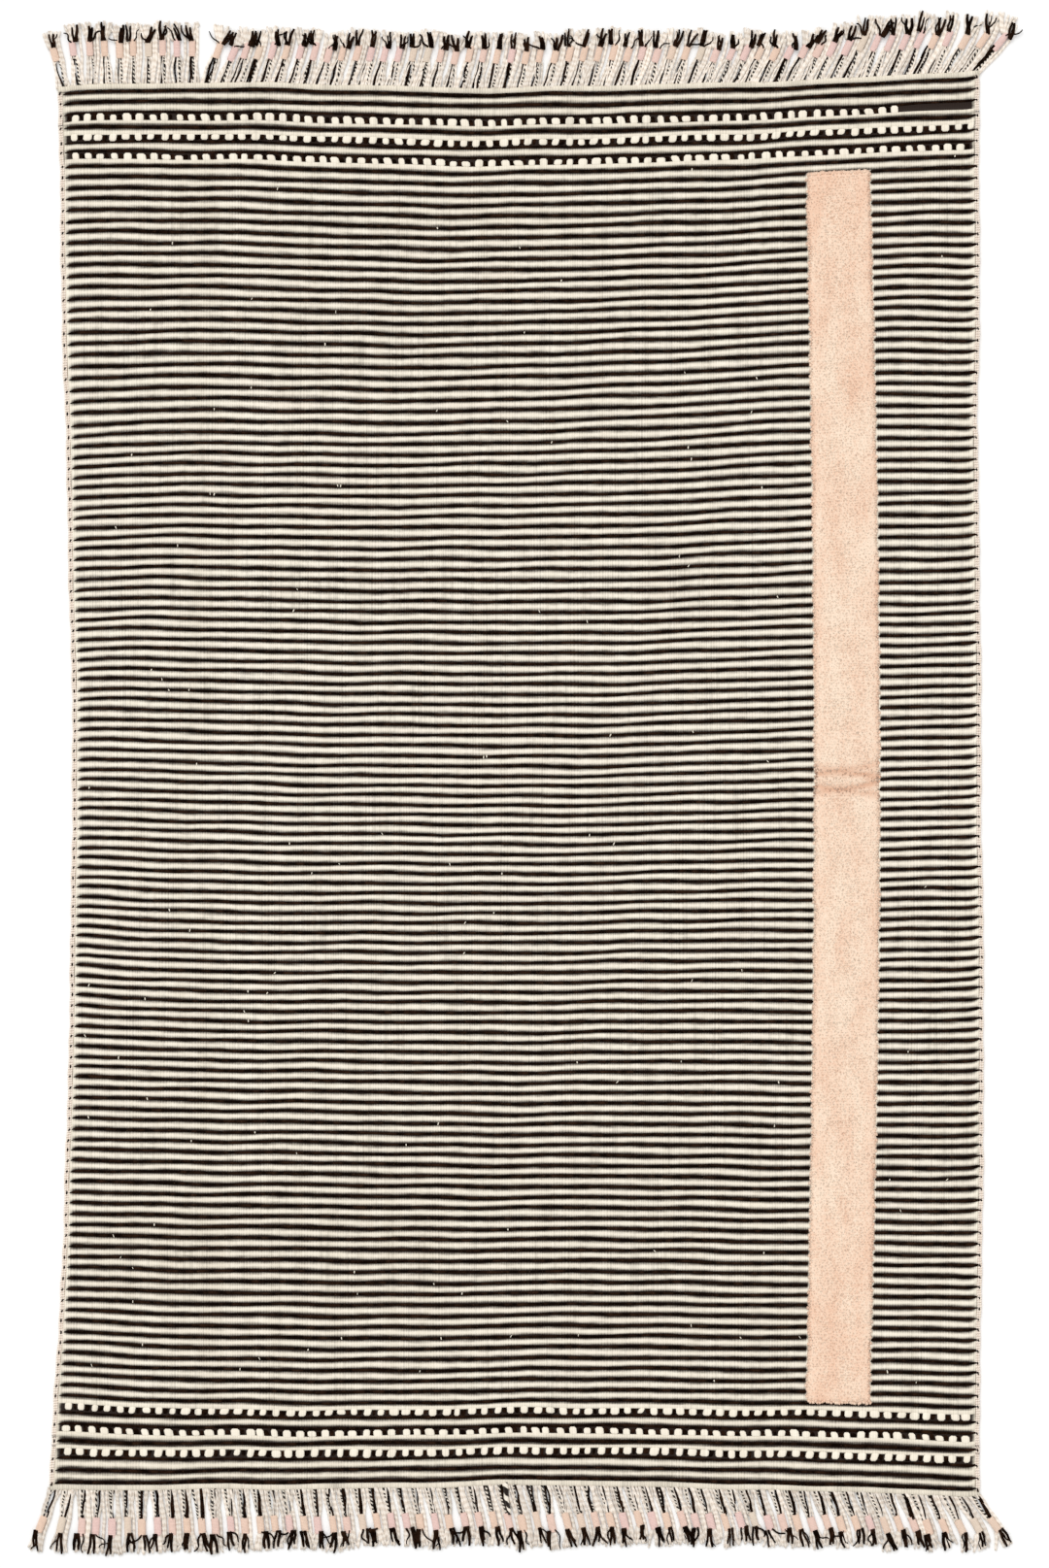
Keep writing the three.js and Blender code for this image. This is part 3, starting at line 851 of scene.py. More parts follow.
def makeSpecks():
    # Here and there a cream thread skips over a dark row
    rng = np.random.default_rng(rug["seed"] + 1)
    n = beads["specks"]
    row = rng.integers(0, rug["fieldRows"] + 1, n).astype(float)
    x = rng.uniform(-beads["speckReach"], beads["speckReach"], n)
    panelLeft, panelRight = panelEdges(row)
    clear = (x < panelLeft - beads["speckClear"]) | (x > panelRight + beads["speckClear"])
    row, x = row[clear], x[clear]
    n = len(x)
    size = (rng.uniform(*beads["speckWide"], n), rng.uniform(*beads["speckLong"], n), beads["speckHigh"])
    row = row + rng.normal(0, beads["speckStrays"], n)
    return nubs("creamSpecks", cream, x, row, beads["speckLift"], size, rng.normal(0, 1, n))


borderBeads, borderTeeth = makeBeads()
creamSpecks = makeSpecks()
print("set", len(borderBeads.data.vertices) // 24, "beads of 24 points")

# Pile panel: a soft bed and the cut tufts standing on it

pile = {
    "base": 3.4,
    "rimTop": 5.2,
    "bedTop": 7.4,
    "top": 8.7,
    "root": 6.0,  # where the tufts start in the bed
    "across": 16,  # squares of the bed's grid
    "along": 300,
    "tuftsAcross": 28,
    "tuftsAlong": 480,
    "radius": 3.0,
    "jitter": 0.3,
    "firstRow": 0.94,
    "lastRow": 117.8,
    "leftOver": 1.6,  # mm that the pile lies over the edge of its bed on the left
    "rightOver": 0.2,  # and on the right
    "wander": 1.1,  # mm that the edges stray
    "ribBulge": 0.5,  # mm that they bulge at every rib
    "lumps": 0.2,
    "bedCrease": 0.9,
    "rimRoot": 0.8,  # mm that the outermost tufts start lower
    "tipStrays": (0.8, 0.7),  # mm that the tips stray across and along the rug
    "tangle": 2,  # mm that they stray further in a wrinkle
    "bowFrom": 380,  # where a wrinkle starts to bow, and the millimetres of one radian of that
    "bowOver": 24,
    "tuftTall": (0.75, 1.1),  # the least and the most, against the usual tuft
    "tuftThick": (0.85, 1.15),
    "nap": -2.2,  # how far the tips lie down the rug
    "splay": 2.2,  # how far the outermost tips lie outwards
    "rimShorter": 0.65,  # how much shorter the outermost tufts are
    "creaseShorter": 1.2,  # mm
    "lastOver": 1.5,  # how far the last tufts lie out over the weave
    "lastFrom": 0.997,  # the share of the pile's length where they begin
}
# The wrinkles across the pile near its middle: row, how far each bows over the width, in rows,
# how deep it is and how wide
wrinkles = [
    dict(row=56.6, bow=0.3, deep=0.6, wide=0.28),
    dict(row=57.5, bow=-0.35, deep=1.0, wide=0.36),
    dict(row=58.5, bow=0.45, deep=1.0, wide=0.36),
    dict(row=59.4, bow=-0.3, deep=0.7, wide=0.3),
]


def pilePlace(share, along):
    # x and row for shares across and along the panel. Its edges bulge a little at every rib
    first, last = pile["firstRow"], pile["lastRow"]
    row = first + (last - first) * along
    panelLeft, panelRight = panelEdges(row)
    bulge = pile["ribBulge"] * np.cos(2 * np.pi * row)
    strayLeft = pile["wander"] * (0.6 * np.sin(row * 0.9) + 0.5 * np.sin(row * 2.3 + 1)) + bulge
    strayRight = pile["wander"] * (0.6 * np.sin(row * 0.8 + 2) + 0.5 * np.sin(row * 2.1)) - bulge
    left = panelLeft - pile["leftOver"] + strayLeft
    right = panelRight + pile["rightOver"] + strayRight
    return left + (right - left) * share, row


def pileCrease(row, x):
    # 1 in the shallow wrinkles that cross the pile near its middle
    found = np.zeros_like(x)
    for wrinkle in wrinkles:
        offset = row - wrinkle["row"] - wrinkle["bow"] * np.sin((x - pile["bowFrom"]) / pile["bowOver"])
        found = np.maximum(found, wrinkle["deep"] * np.exp(-(offset / wrinkle["wide"]) ** 2))
    return found


def pileRim(share):
    return np.abs(2 * share - 1) ** 5


def pileShade(share, along):
    # The pile is a little darker at its rims and towards both ends
    return pileRim(share) + 2.3 * np.abs(2 * along - 1) ** 3 - 0.4


def makeBed():
    bed, column, station, onTop = slab("pileBed", pile["across"], pile["along"])
    share, along = column / pile["across"], 1 - station / pile["along"]
    x, row = pilePlace(share, along)
    crease = pileCrease(row, x)
    rounded = (1 - np.abs(2 * share - 1) ** 8) ** 0.5
    endRound = np.minimum(1, 0.5 + np.minimum(along, 1 - along) * 300)
    lumps = pile["lumps"] * np.sin(x / 13 + row * 0.9) * np.sin(row * 1.7)
    height = pile["rimTop"] + (pile["bedTop"] - pile["rimTop"]) * rounded * endRound + lumps
    height = height - pile["bedCrease"] * crease
    writePoints(bed.data, np.stack([x, weaveHeight(row, x), np.where(onTop, height, pile["base"])], -1))
    # The wrinkles are painted darker: crushed pile and painted shade
    writeValues(bed.data, "crease", crease * 0.8)
    writeValues(bed.data, "edge", pileShade(share, along))
    return finishPiece(bed, pink, ["pile_panel"])


def makeTufts():
    # Each tuft is a five-sided cone. They stand in staggered lines
    shape = bmesh.new()
    bmesh.ops.create_cone(shape, cap_ends=True, segments=5, radius1=1, radius2=0, depth=1)
    bmesh.ops.remove_doubles(shape, verts=shape.verts[:], dist=0.001)
    tufts = newPiece("pileTufts", shape)
    rng = np.random.default_rng(rug["seed"] + 2)
    jitter = pile["jitter"]
    count = pile["tuftsAcross"] * pile["tuftsAlong"]
    points = copied(tufts, count)
    spot = np.arange(count)
    across, along = spot % pile["tuftsAcross"], spot // pile["tuftsAcross"]
    share = across + 0.5 + 0.5 * (along % 2) - 0.25 + rng.uniform(-jitter, jitter, count)
    share = 0.005 + 0.99 * (share / pile["tuftsAcross"]).clip(0, 1)
    along = ((along + 0.5 + rng.uniform(-jitter, jitter, count)) / pile["tuftsAlong"]).clip(0.0005, 0.9995)
    x, row = pilePlace(share, along)
    rim = pileRim(share)
    crease = pileCrease(row, x)
    root = pile["root"] - pile["rimRoot"] * rim
    tall = (pile["top"] - root) * (1 - pile["rimShorter"] * rim) * rng.uniform(*pile["tuftTall"], count)
    tall = tall - pile["creaseShorter"] * crease
    strayX, strayY = pile["tipStrays"]
    leanX = rng.normal(0, strayX, count) + pile["splay"] * (2 * share - 1) * rim
    leanY = pile["nap"] + rng.normal(0, strayY, count) + pile["tangle"] * crease * rng.normal(0, 1, count)
    radius = pile["radius"] * rng.uniform(*pile["tuftThick"], count)
    turn = rng.uniform(0, 2 * np.pi, count)[:, None]
    upward = points[..., 2] + 0.5
    placedX = x[:, None] + radius[:, None] * (points[..., 0] * np.cos(turn) - points[..., 1] * np.sin(turn))
    placedX += leanX[:, None] * upward
    placedY = weaveHeight(row, x)[:, None] + leanY[:, None] * upward
    placedY += radius[:, None] * (points[..., 0] * np.sin(turn) + points[..., 1] * np.cos(turn))
    placedY -= (pile["lastOver"] * (along > pile["lastFrom"]))[:, None]
    placedZ = root[:, None] + tall[:, None] * upward
    writePoints(tufts.data, np.stack([placedX, placedY, placedZ], -1))
    # The wrinkles' darker colour is strongest at each tuft's root: painted shade lower down
    writeValues(tufts.data, "crease", (crease[:, None] * (1 - 0.5 * upward)).clip(0, 1).ravel())
    writeValues(tufts.data, "edge", np.repeat(pileShade(share, along), upward.shape[1]))
    return finishPiece(tufts, pink)


pink = pinkPile()
pileBed, pileTufts = makeBed(), makeTufts()
print("knotted", pile["tuftsAcross"] * pile["tuftsAlong"], "tufts")

# Selvedges: the edge warps, bound into a cord that swells at every rib

selvedge = {
    "outerHalf": 1.8,
    "innerHalf": 1.7,
    "between": -0.7,  # mm between the two cords, which press into each other
    "rise": 2.7,
    "sides": 8,
    "drawnIn": 0.86,  # how thick the cord is at a dark row
    "wobble": 0.5,  # mm that the edge strays over three ribs, and over ten
    "sway": 0.4,
    "innerUp": 0.3,  # mm that the inner cord lies higher
    "nickDiffers": 0.5,
    "nickLean": 1.4,  # mm that a nick's far end lies inwards, and over how many mm that is scattered
    "nickLeans": 3,
    "nickLiftLeft": 4.6,
    "nickLiftRight": 4.2,
    "nickWide": 2.3,
    "nickLong": 3.9,
    "nickHigh": 2.0,
}
cord = cordWool()


def makeSelvedge(name, side, node, inwards):
    # Two cords side by side, drawn in at every dark row, with a nick of the dark weft between them
    row, depth, height = weaveStations().T
    row = row + 0.0001 * np.arange(len(row))  # no two stations in one place
    onLine = (depth > 0.9) & (height < ground["toothBed"])
    swell = np.where(onLine, selvedge["drawnIn"], 1.0)
    wobble = selvedge["wobble"] * np.sin(row * 1.9 + inwards) + selvedge["sway"] * np.sin(row * 0.63)
    edge = sideAt(row, side) + wobble * inwards
    halves = [selvedge["outerHalf"], selvedge["innerHalf"]]
    gap = 2 * halves[0] + selvedge["between"] / 2
    outer = edge + inwards * halves[0]
    inner = edge + inwards * (gap + selvedge["between"] / 2 + halves[1])
    rise = selvedge["rise"] * swell
    centre = np.stack([
        np.stack([outer, weaveHeight(row, outer), rise], -1),
        np.stack([inner, weaveHeight(row, inner), selvedge["innerUp"] + rise], -1),
    ])
    piece, _ = tubes(name, centre, np.array(halves)[:, None] * swell, rise, selvedge["sides"])
    finishPiece(piece, cord, [node])
    index = np.arange(np.count_nonzero(onLine))
    long = selvedge["nickLong"] * (1 + selvedge["nickDiffers"] * scatter(index, 29))
    size = (selvedge["nickWide"], long, selvedge["nickHigh"])
    lean = selvedge["nickLean"] * inwards + selvedge["nickLeans"] * scatter(index, 37)
    lift = selvedge["nickLiftLeft"] if inwards > 0 else selvedge["nickLiftRight"]
    nicks = nubs(name + "Nicks", black, edge[onLine] + inwards * gap, row[onLine], lift, size, lean)
    return piece, nicks


leftCord = makeSelvedge("selvedgeCordLeft", "sideLeft", "selvedge_left", 1)
rightCord = makeSelvedge("selvedgeCordRight", "sideRight", "selvedge_right", -1)
print("bound the selvedges")

# Fringe: at each end a header rib, and locks of plied warps with a pink wrap

fringe = {
    "steps": 9,  # points along a strand
    "lockInset": 8,  # mm from the rug's edges to the outermost locks
    "leanDiffers": 2.5,  # degrees over which the leans of single locks are scattered
    "longDiffers": 7,  # and mm for their lengths
    "rootDepth": 3,  # how deep in the header a lock starts
    "gathers": 0.5,  # how near together the strands lie at the wrap, against their roots
    "tipStraightens": 0.5,  # the share of its lean that a lock keeps beyond its wrap
    "strayShare": 0.35,  # how many strands stray far, and how far those and the others do
    "strayFar": 1.7,
    "strayLittle": 0.6,
    "widest": 4.2,  # mm from a lock's middle to its last strand at the wrap
    "rootStrays": 0.35,
    "bow": 0.7,  # how far they bow and waver in between, in mm
    "waver": 0.6,
    "halfWaves": (1.5, 3.5),  # the least and the most along a strand
    "rounding": 0.05,  # how far a strand bows outwards, against its distance from the middle
    "resting": 0.9,  # the height of a strand's middle against its half width
    "piled": 0.5,  # mm, at most, that one strand lies higher than another
    "tipsPiled": 1.2,
    "risesOver": 0.3,  # the share of a strand that rises into the header, and into the wrap
    "strandsInWrap": 0.04,  # shares of a lock's length that strands and tips lie inside the wrap
    "tipsInWrap": 0.03,
    "fanStrays": 0.25,
    "tipWidest": 6.5,  # mm from a lock's middle to a bundle where it leaves the wrap
    "uneven": (0.85, 1.15),  # how thick one strand is against another
    "blackUneven": (0.65, 1.35),
    "blackSwell": (-0.2, 0.6),  # how much thicker a black strand gets towards the wrap
    "tipTurns": (0.5, 1.3),  # waves along a tip, and the share of its curl that it has
    "tipCurls": (0.4, 1),
    "tipSinks": 0.4,  # the share of a tip that comes down to the floor
    "tipUneven": (0.75, 1.2),
    "tipNarrows": 0.35,
    "crossing": 0.6,  # how much neighbouring strands change places
    "eitherBlack": 0.12,  # in how many locks the strand of either wool is black
    "flat": 0.88,  # a strand's height against its width
    "clear": 0.05,  # mm that it lies above the floor
    "unbound": (7.2, 10.3),  # mm from a lock's middle
    "unboundShare": (0.7, 0.4),  # in how many of the locks
    "unboundHalf": 1.9,
    "unboundStrays": 0.6,  # mm
    "unboundFrom": 0.02,  # shares of a lock's length: where they start, and how far they run
    "unboundLong": 0.88,
    "unboundRise": 2.2,  # mm that they rise into the header
    # The lightest strand against the end's own lightness, and the range down from it
    "boundLight": (0.06, 0.3),
    "unboundLight": (0.06, 0.22),
    "tipLight": (0.04, 0.26),
    "headerHalf": 3.8,
    "headerRise": 2.6,
    "headerInset": 0.5,
    "headerSteps": 160,
    "headerPlump": 0.05,  # how much its thickness differs along it
    "headerDirt": 0.2,
    "headerTone": -0.5,
    "wrapStart": 0.46,  # shares of a lock's length
    "wrapEnd": 0.73,
    "wrapStrays": 0.012,
    "wrapRise": 2.6,
    "wrapTurn": 1.9,  # mm from one turn of the wrap to the next
    "wrapSteps": 27,
    # Shares of a wrap's width: how far a turn stands out, how far the ends are drawn in, and over
    # how much the wraps differ
    "wrapRings": 0.07,
    "wrapDrawnIn": 0.14,
    "wrapDiffers": 0.2,
}
rootOut = rug["rim"] + rug["gap"] + rug["header"] - fringe["rootDepth"]
# locks gives how far they lean to the right, in degrees, and how long they are, across the rug.
# light is how light the strands are, and darkReach how much further the black ones reach. warps has
# the strands of one lock at its root: millimetres from its middle, half width and wool
ends = {
    "top": {
        "row": -8, "up": 1, "salt": 11, "node": "fringe_top",
        "wrapHalf": 4.4, "light": 1.0, "darkReach": 1.0,
        "locks": {
            "at": (-1, -0.94, -0.71, -0.67, -0.58, -0.4, 0, 0.2, 0.35, 0.5, 0.64, 0.7, 0.9, 1),
            "lean": (-20, -4, 0, 24, 16, 15, 12, 15, 18, 25, 25, 25, 25, 42),
            "long": (79, 81, 81, 79, 78, 76, 75, 80, 75, 74, 77, 88, 89, 92),
        },
        "warps": [
            (-7.9, 1.6, "cream"), (-5.1, 1.5, "cream"), (-2.4, 1.45, "black"), (0.3, 1.5, "either"),
            (3.0, 1.6, "pepper"), (5.6, 1.5, "cream"), (8.2, 1.5, "cream"),
        ],
    },
    "bottom": {
        "row": 126, "up": -1, "salt": 17, "node": "fringe_bottom",
        "wrapHalf": 4.8, "light": 0.94, "darkReach": 1.06,
        "locks": {
            "at": (-1, -0.93, -0.85, -0.6, -0.12, 0, 0.1, 0.2, 0.6, 0.88, 1),
            "lean": (-24, -5, 0, 5, 11, 12, 13, 14, 17, 20, 36),
            "long": (88, 87, 86, 85, 82, 87, 87, 82, 79, 79, 82),
        },
        "warps": [
            (-8.2, 1.5, "cream"), (-5.6, 1.5, "cream"), (-3.0, 1.6, "pepper"), (-0.3, 1.5, "either"),
            (2.4, 1.7, "black"), (5.1, 1.5, "cream"), (7.9, 1.6, "cream"),
        ],
    },
}
# The loose ends beyond a wrap, in bundles. spread, curl and veer are in degrees: between the
# strands of one bundle, along a strand, and of the whole bundle. fan is how far apart its strands
# leave the wrap, aside how far from its middle they do, over how high up, and above how high they
# then lie, in millimetres. short and long are shares of the way to the lock's end
bundles = [
    dict(wool="cream", count=8, spread=20, curl=14, veer=4, fan=3.4, aside=0.6,
         short=0.9, long=1.06, half=2.0, over=2.4, above=0),
    dict(wool="black", count=2, spread=5, curl=14, veer=11, fan=1.4, aside=4.6,
         short=0.72, long=1.03, half=2.0, over=4.8, above=1.8),
    dict(wool="black", count=1, spread=50, curl=48, veer=30, fan=2.4, aside=1.0,
         short=0.7, long=1.05, half=1.25, over=4.8, above=2.2),
]
# One thick marled thread lies loose over the bottom fringe
marled = {
    "x": -21,
    "half": 3.7,
    "leans": 6,
    "from": 3,
    "long": 42,
    "height": 4.6,
    "arch": 0.5,
    "waver": 0.8,
    "narrows": 0.45,
}
sweep = np.linspace(0, 1, fringe["steps"])  # from a strand's root to its end


def planLocks(name):
    # What the tables say of one end, with the root, lean and length of each of its locks
    end = ends[name]
    row, salt, index = end["row"], end["salt"], np.arange(rug["locks"])
    at = -1 + 2 * (index + 0.5) / rug["locks"]
    left = sideAt(row, "sideLeft") + fringe["lockInset"]
    right = sideAt(row, "sideRight") - fringe["lockInset"]
    leans = scatter(index, salt) * fringe["leanDiffers"]
    differs = scatter(index, salt + 1) * fringe["longDiffers"]
    return dict(
        end,
        title=name.capitalize(),
        x=(left + (right - left) * index / (rug["locks"] - 1))[:, None],
        lean=np.radians(read(end["locks"], "at", "lean", at) + leans)[:, None],
        length=(read(end["locks"], "at", "long", at) + differs)[:, None],
    )


def lockPoint(plan, share):
    # The middle of the locks at shares of their length, and the direction across them there, both
    # (locks, shares, 2)
    x, lean, length, bend = plan["x"], plan["lean"], plan["length"], fringe["wrapEnd"]
    straight, beyond = np.minimum(share, bend) * length, np.maximum(share - bend, 0) * length
    tipLean = lean * fringe["tipStraightens"]
    out = rootOut + straight * np.cos(lean) + beyond * np.cos(tipLean)
    over = straight * np.sin(lean) + beyond * np.sin(tipLean)
    heading = np.where(share > bend, tipLean, lean)
    place = np.stack([x + over, rowHeight(plan["row"], x) + plan["up"] * out], -1)
    return place, np.stack([np.cos(heading), -plan["up"] * np.sin(heading)], -1)


def strandLines(plan, across, half, rng):
    # One strand of every lock from the header to the wrap: (locks, steps, 3)
    n = rug["locks"]
    strays = np.where(rng.uniform(0, 1, n) < fringe["strayShare"], fringe["strayFar"], fringe["strayLittle"])
    rootX = plan["x"][:, 0] + across + rng.normal(0, fringe["rootStrays"], n)
    rootY = weaveHeight(np.full(n, float(plan["row"])), rootX) + plan["up"] * rootOut
    goal, sideways = lockPoint(plan, fringe["wrapStart"] + fringe["strandsInWrap"])
    aside = across * fringe["gathers"] + strays * rng.normal(0, 1, n)
    goal = goal + sideways * aside.clip(-fringe["widest"], fringe["widest"])[:, None, None]
    line = np.stack([rootX, rootY], -1)[:, None] * (1 - sweep[:, None]) + goal * sweep[:, None]
    bow = across * fringe["rounding"] + strays * fringe["bow"] * rng.normal(0, 1, n)
    bow = np.sin(np.pi * sweep) * bow[:, None]
    waves = np.pi * sweep * rng.uniform(*fringe["halfWaves"], (n, 1)) + rng.uniform(0, 6, (n, 1))
    bow = bow + fringe["waver"] * np.sin(waves)
    line = line + sideways * bow[..., None]
    # Low between the header and the wrap, and up inside both
    low = half * fringe["resting"] + fringe["clear"] + fringe["piled"] * rng.uniform(0, 1, (n, 1))
    over = fringe["risesOver"]
    inside = np.maximum((1 - sweep / over).clip(0), ((sweep - (1 - over)) / over).clip(0))
    z = low + (fringe["wrapRise"] - low) * inside
    return np.concatenate([line, z[..., None]], -1)


def unboundLines(plan, aside, rng):
    # One strand of every lock that runs the lock's whole length, that far from its middle
    n = rug["locks"]
    side = 2 * (aside + rng.normal(0, fringe["unboundStrays"], (n, 1))) / 3
    opening = np.minimum(1, sweep / 0.5)
    middle, across = lockPoint(plan, fringe["unboundFrom"] + fringe["unboundLong"] * sweep)
    line = middle + across * side[..., None] * (0.75 + 0.75 * opening)[:, None]
    half = fringe["unboundHalf"] * rng.uniform(*fringe["uneven"], (n, 1)) * (0.85 + 0.25 * opening)
    z = half * fringe["flat"] + 0.1 + fringe["unboundRise"] * (1 - sweep / 0.15).clip(0)
    return np.concatenate([line, z[..., None]], -1), half


def tipLines(plan, tip, rng):
    # Loose warp ends that fan out and curl beyond the wrap: (locks * count, steps, 3)
    n, count, inWrap = rug["locks"], tip["count"], fringe["tipsInWrap"]
    start, across = lockPoint(plan, fringe["wrapEnd"] - inWrap)
    fan = (np.arange(count) * 2 + 1 - count)[None] / max(count - 1, 1)
    fan = fan + rng.normal(0, fringe["fanStrays"], (n, count))
    further = plan["darkReach"] if tip["wool"] == "black" else 1
    reach = rng.uniform(tip["short"], tip["long"], (n, count)) * further
    left = (1 - fringe["wrapEnd"] + inWrap) * plan["length"] * reach
    turns = sweep * rng.uniform(*fringe["tipTurns"], (n, count, 1)) + rng.uniform(0, 1, (n, count, 1))
    wave = tip["curl"] * np.sin(2 * np.pi * turns) * rng.uniform(*fringe["tipCurls"], (n, count, 1))
    wave = wave * np.minimum(1, sweep * 3)
    opened = tip["spread"] * fan[..., None] * (0.5 + 0.5 * sweep) + tip["veer"] * rng.normal(0, 1, (n, 1, 1))
    heading = (plan["lean"] * fringe["tipStraightens"])[..., None] + np.radians(opened + wave)
    step = left[..., None] / (len(sweep) - 1)
    moves = np.stack([np.sin(heading) * step, plan["up"] * np.cos(heading) * step], -1)
    moves[:, :, 0] = 0
    widest = fringe["tipWidest"]
    aside = fan * tip["fan"] + (tip["aside"] * rng.normal(0, 1, (n, 1))).clip(-widest, widest)
    line = (start + across * aside[..., None])[:, :, None] + np.cumsum(moves, 2)
    resting = tip["half"] * fringe["resting"] + fringe["clear"] + tip["above"]
    resting = resting + fringe["tipsPiled"] * rng.uniform(0, 1, (n, count, 1))
    z = resting + (tip["over"] - resting) * (1 - sweep / fringe["tipSinks"]).clip(0)
    return np.concatenate([line, z[..., None]], -1).reshape(n * count, len(sweep), 3)


def yarnPiece(name, wool, strands, nodes=()):
    # strands is a list of (lines, half widths, shades)
    centre, half, shade = (np.concatenate(part) for part in zip(*strands))
    centre[..., 2] = np.maximum(centre[..., 2], fringe["flat"] * half + fringe["clear"])
    piece, _ = tubes(name, centre, half, half * fringe["flat"], 5, shade)
    return finishPiece(piece, wool, nodes)


def strandLight(plan, kind, count, rng):
    lightest, over = fringe[kind]
    return plan["light"] + lightest - over * rng.uniform(0, 1, count)


def makeStrands(plan, rng):
    n = rug["locks"]
    strands = {"cream": [], "black": [], "pepper": []}

    def addStrands(wool, line, width, light, which=slice(None)):
        strands[wool].append((line[which], width[which], light[which]))

    # Within a lock, neighbouring strands have changed places here and there
    slots = np.array([slot for slot, _, _ in plan["warps"]])
    order = np.arange(len(slots)) + rng.normal(0, fringe["crossing"], (n, len(slots)))
    across = slots[np.argsort(np.argsort(order, axis=1), axis=1)]
    for index, (_, half, wool) in enumerate(plan["warps"]):
        line = strandLines(plan, across[:, index], half, rng)
        width = half * rng.uniform(*fringe["uneven"], (n, 1)) * (1 - 0.1 * sweep)
        light = strandLight(plan, "boundLight", n, rng)
        dark = rng.uniform(0, 1, n) < fringe["eitherBlack"]
        if wool == "either":
            addStrands("black", line, width, light, dark)
            addStrands("cream", line, width, light, ~dark)
            continue
        if wool == "black":
            width = width * rng.uniform(*fringe["blackUneven"], (n, 1))
            width = width * (1 + sweep * rng.uniform(*fringe["blackSwell"], (n, 1)))
        addStrands(wool, line, width, light)
    # Some cream warps of each lock aren't bound in: they run on beside its wrap
    for aside, often in zip(fringe["unbound"], fringe["unboundShare"]):
        line, width = unboundLines(plan, aside, rng)
        light = strandLight(plan, "unboundLight", n, rng)
        addStrands("cream", line, width, light, rng.uniform(0, 1, n) < often)
    for bundle in bundles:
        count = n * bundle["count"]
        width = bundle["half"] * rng.uniform(*fringe["tipUneven"], (count, 1))
        width = width * (1 - fringe["tipNarrows"] * sweep ** 3)
        light = strandLight(plan, "tipLight", count, rng)
        addStrands(bundle["wool"], tipLines(plan, bundle, rng), width, light)
    return [
        yarnPiece("fringeCream" + plan["title"], creamPly, strands["cream"], [plan["node"]]),
        yarnPiece("fringeBlack" + plan["title"], black, strands["black"]),
        yarnPiece("fringePepper" + plan["title"], pepperPly, strands["pepper"]),
    ]


def makeMarled(plan):
    x = marled["x"] + marled["leans"] * sweep + marled["waver"] * np.sin(sweep * 9)
    y = rowHeight(plan["row"], x) + plan["up"] * (rug["rim"] + marled["from"] + marled["long"] * sweep)
    z = marled["height"] + marled["arch"] * np.sin(np.pi * sweep)
    half = marled["half"] * (1 - marled["narrows"] * sweep ** 2)
    strand = (np.stack([x, y, z], -1)[None], half[None], np.ones(1))
    return yarnPiece("fringeMarledThread", marledPly, [strand])


def makeHeader(plan):
    # The last rib of the weave, which the locks come out of
    left, right = sideAt(plan["row"], "sideLeft"), sideAt(plan["row"], "sideRight")
    x = np.linspace(left + fringe["headerInset"], right - fringe["headerInset"], fringe["headerSteps"])
    out = rug["rim"] + rug["gap"] + fringe["headerHalf"]
    plump = 1 + fringe["headerPlump"] * np.sin(x / 9)
    half, rise = fringe["headerHalf"] * plump, fringe["headerRise"] * plump
    y = weaveHeight(np.full_like(x, plan["row"]), x) + plan["up"] * out
    centre = np.stack([x, y, rise], -1)
    header, station = tubes("fringeHeader" + plan["title"], centre[None], half[None], rise[None], 12)
    place = x[station[0]]
    weave = [place, np.full_like(place, plan["row"]), np.full_like(place, fringe["headerDirt"])]
    writeValues(header.data, "weave", np.stack(weave, -1))
    writeValues(header.data, "tone", np.full_like(place, fringe["headerTone"]))
    return finishPiece(header, cream)


def makeWraps(plan, rng):
    # Ringed by their turns, and drawn in at both ends
    n, rise = rug["locks"], fringe["wrapRise"]
    share = np.linspace(0, 1, fringe["wrapSteps"])
    begins = fringe["wrapStart"] + rng.normal(0, fringe["wrapStrays"], (n, 1))
    finishes = fringe["wrapEnd"] + rng.normal(0, fringe["wrapStrays"], (n, 1))
    at = begins + (finishes - begins) * share
    middle, _ = lockPoint(plan, at)
    z = np.full((*at.shape, 1), rise + fringe["clear"])
    turns = (at - begins) * plan["length"] / fringe["wrapTurn"]
    drawnIn = fringe["wrapDrawnIn"] * np.abs(2 * share - 1) ** 6
    ringed = 1 + fringe["wrapRings"] * np.abs(np.sin(np.pi * turns)) - drawnIn
    ringed = ringed * (1 + fringe["wrapDiffers"] * scatter(np.arange(n), 23))[:, None]
    wraps, _ = tubes(
        "fringeWraps" + plan["title"], np.concatenate([middle, z], -1), plan["wrapHalf"] * ringed,
        rise * np.minimum(ringed, 1), 10, rng.uniform(0, 1, n),
    )
    return finishPiece(wraps, wrapped)


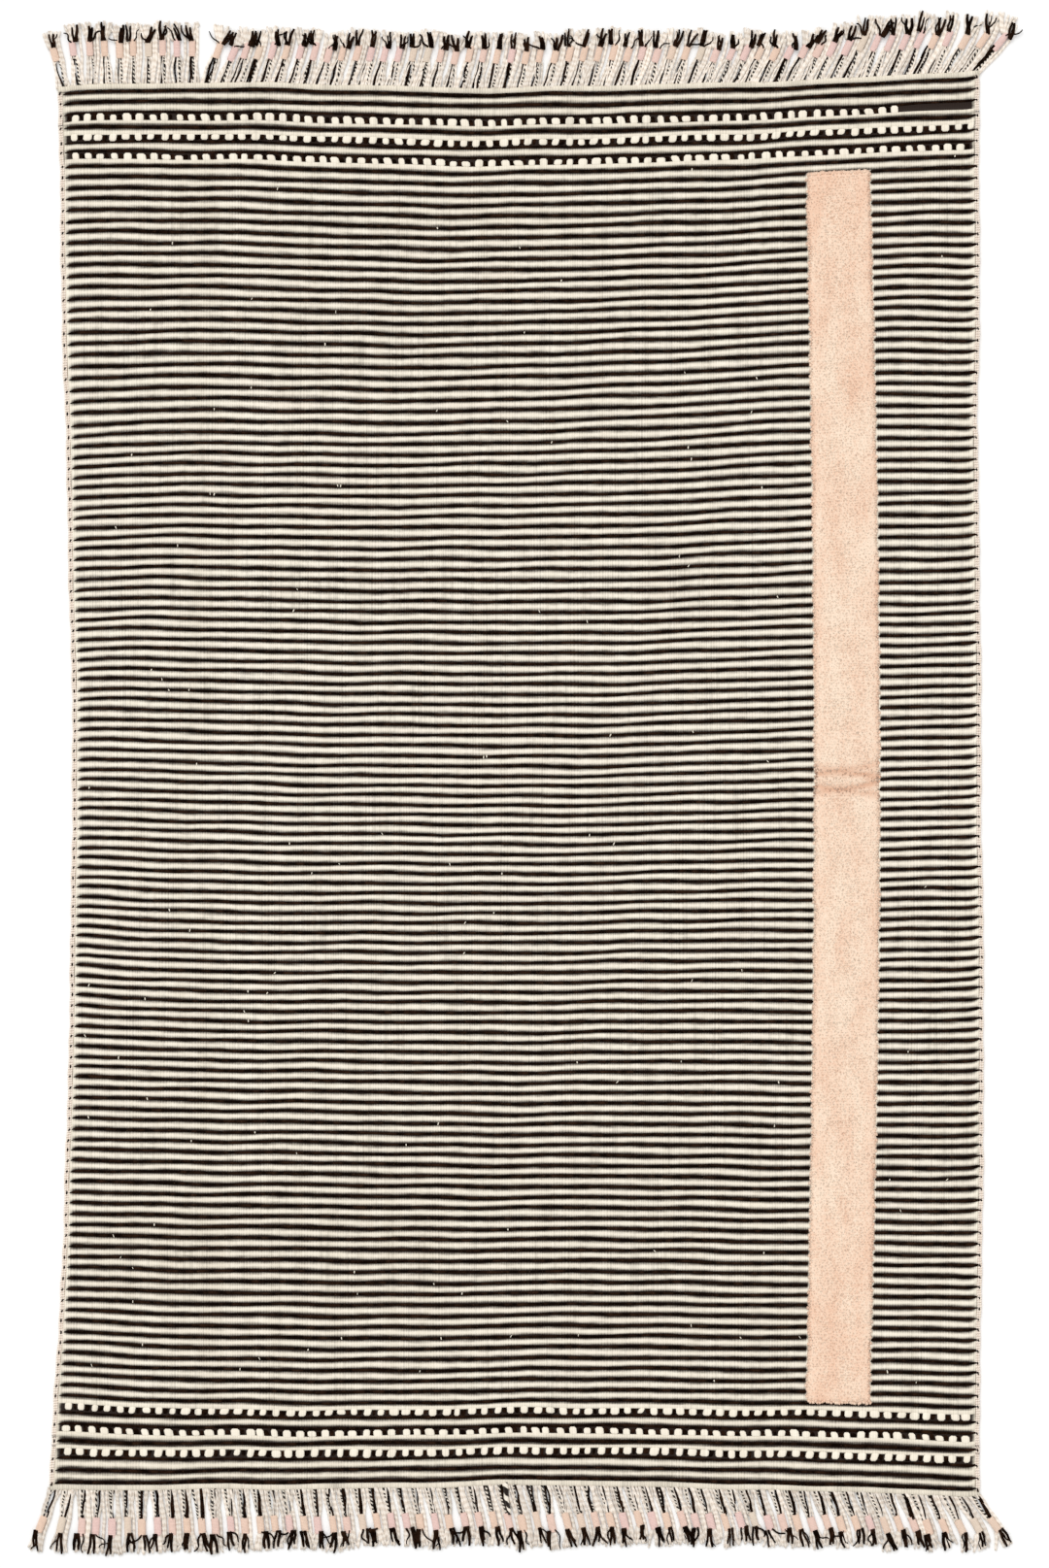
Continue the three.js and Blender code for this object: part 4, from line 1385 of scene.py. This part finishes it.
def makeFringe(name):
    plan = planLocks(name)
    rng = np.random.default_rng(rug["seed"] + 3 + plan["salt"])
    pieces = makeStrands(plan, rng)
    if name == "bottom":
        pieces.append(makeMarled(plan))
    return [*pieces, makeHeader(plan), makeWraps(plan, rng)]


fringePieces = makeFringe("top") + makeFringe("bottom")
print("tied the fringe:", len(fringePieces), "pieces")

# Studio: a white floor, soft light and a camera straight above

studio = {
    "photoHigh": 1615,
    "mmPerPixel": 1.275,
    "aimPixel": (540, 807.5),
    "zeroPixel": (536, 810),  # where the weave's own zero lies
    "cameraHigh": 6000,
    "sensor": 36,  # mm, along the photo's long side, which is its height
    "floor": 80,  # metres
    "farthest": 100,  # metres that the camera sees
    "sky": 0.86,
    "sun": 1.2,
    "sunAngle": 50,
    "sunTurn": (-35, -15, 0),
}


def makeStudio():
    shape = bmesh.new()
    bmesh.ops.create_grid(shape, x_segments=2, y_segments=2, size=studio["floor"] / 2)
    floor = newPiece("studioFloor", shape)
    floor.data.materials.append(paleFloor())

    world = bpy.data.worlds.new("softStudio")
    world.use_nodes = True
    world.node_tree.nodes["Background"].inputs["Color"].default_value = (1, 1, 1, 1)
    world.node_tree.nodes["Background"].inputs["Strength"].default_value = studio["sky"]
    bpy.context.scene.world = world

    lamp = bpy.data.lights.new("softSun", "SUN")
    lamp.energy = studio["sun"]
    lamp.angle = math.radians(studio["sunAngle"])
    sun = bpy.data.objects.new("softSun", lamp)
    sun.rotation_euler = [math.radians(angle) for angle in studio["sunTurn"]]
    bpy.context.scene.collection.objects.link(sun)

    lens = bpy.data.cameras.new("above")
    lens.sensor_width = studio["sensor"]
    high = studio["photoHigh"] * studio["mmPerPixel"]
    lens.lens = lens.sensor_width * (studio["cameraHigh"] - ground["ribTop"]) / high
    lens.clip_end = studio["farthest"]
    camera = bpy.data.objects.new("above", lens)
    right, down = (np.array(studio["aimPixel"]) - studio["zeroPixel"]) * studio["mmPerPixel"]
    camera.location = toFrame(np.array([right, -down, studio["cameraHigh"]]))
    bpy.context.scene.collection.objects.link(camera)
    bpy.context.scene.camera = camera
    bpy.context.scene.view_settings.view_transform = "Standard"


makeStudio()
print("lit the studio")
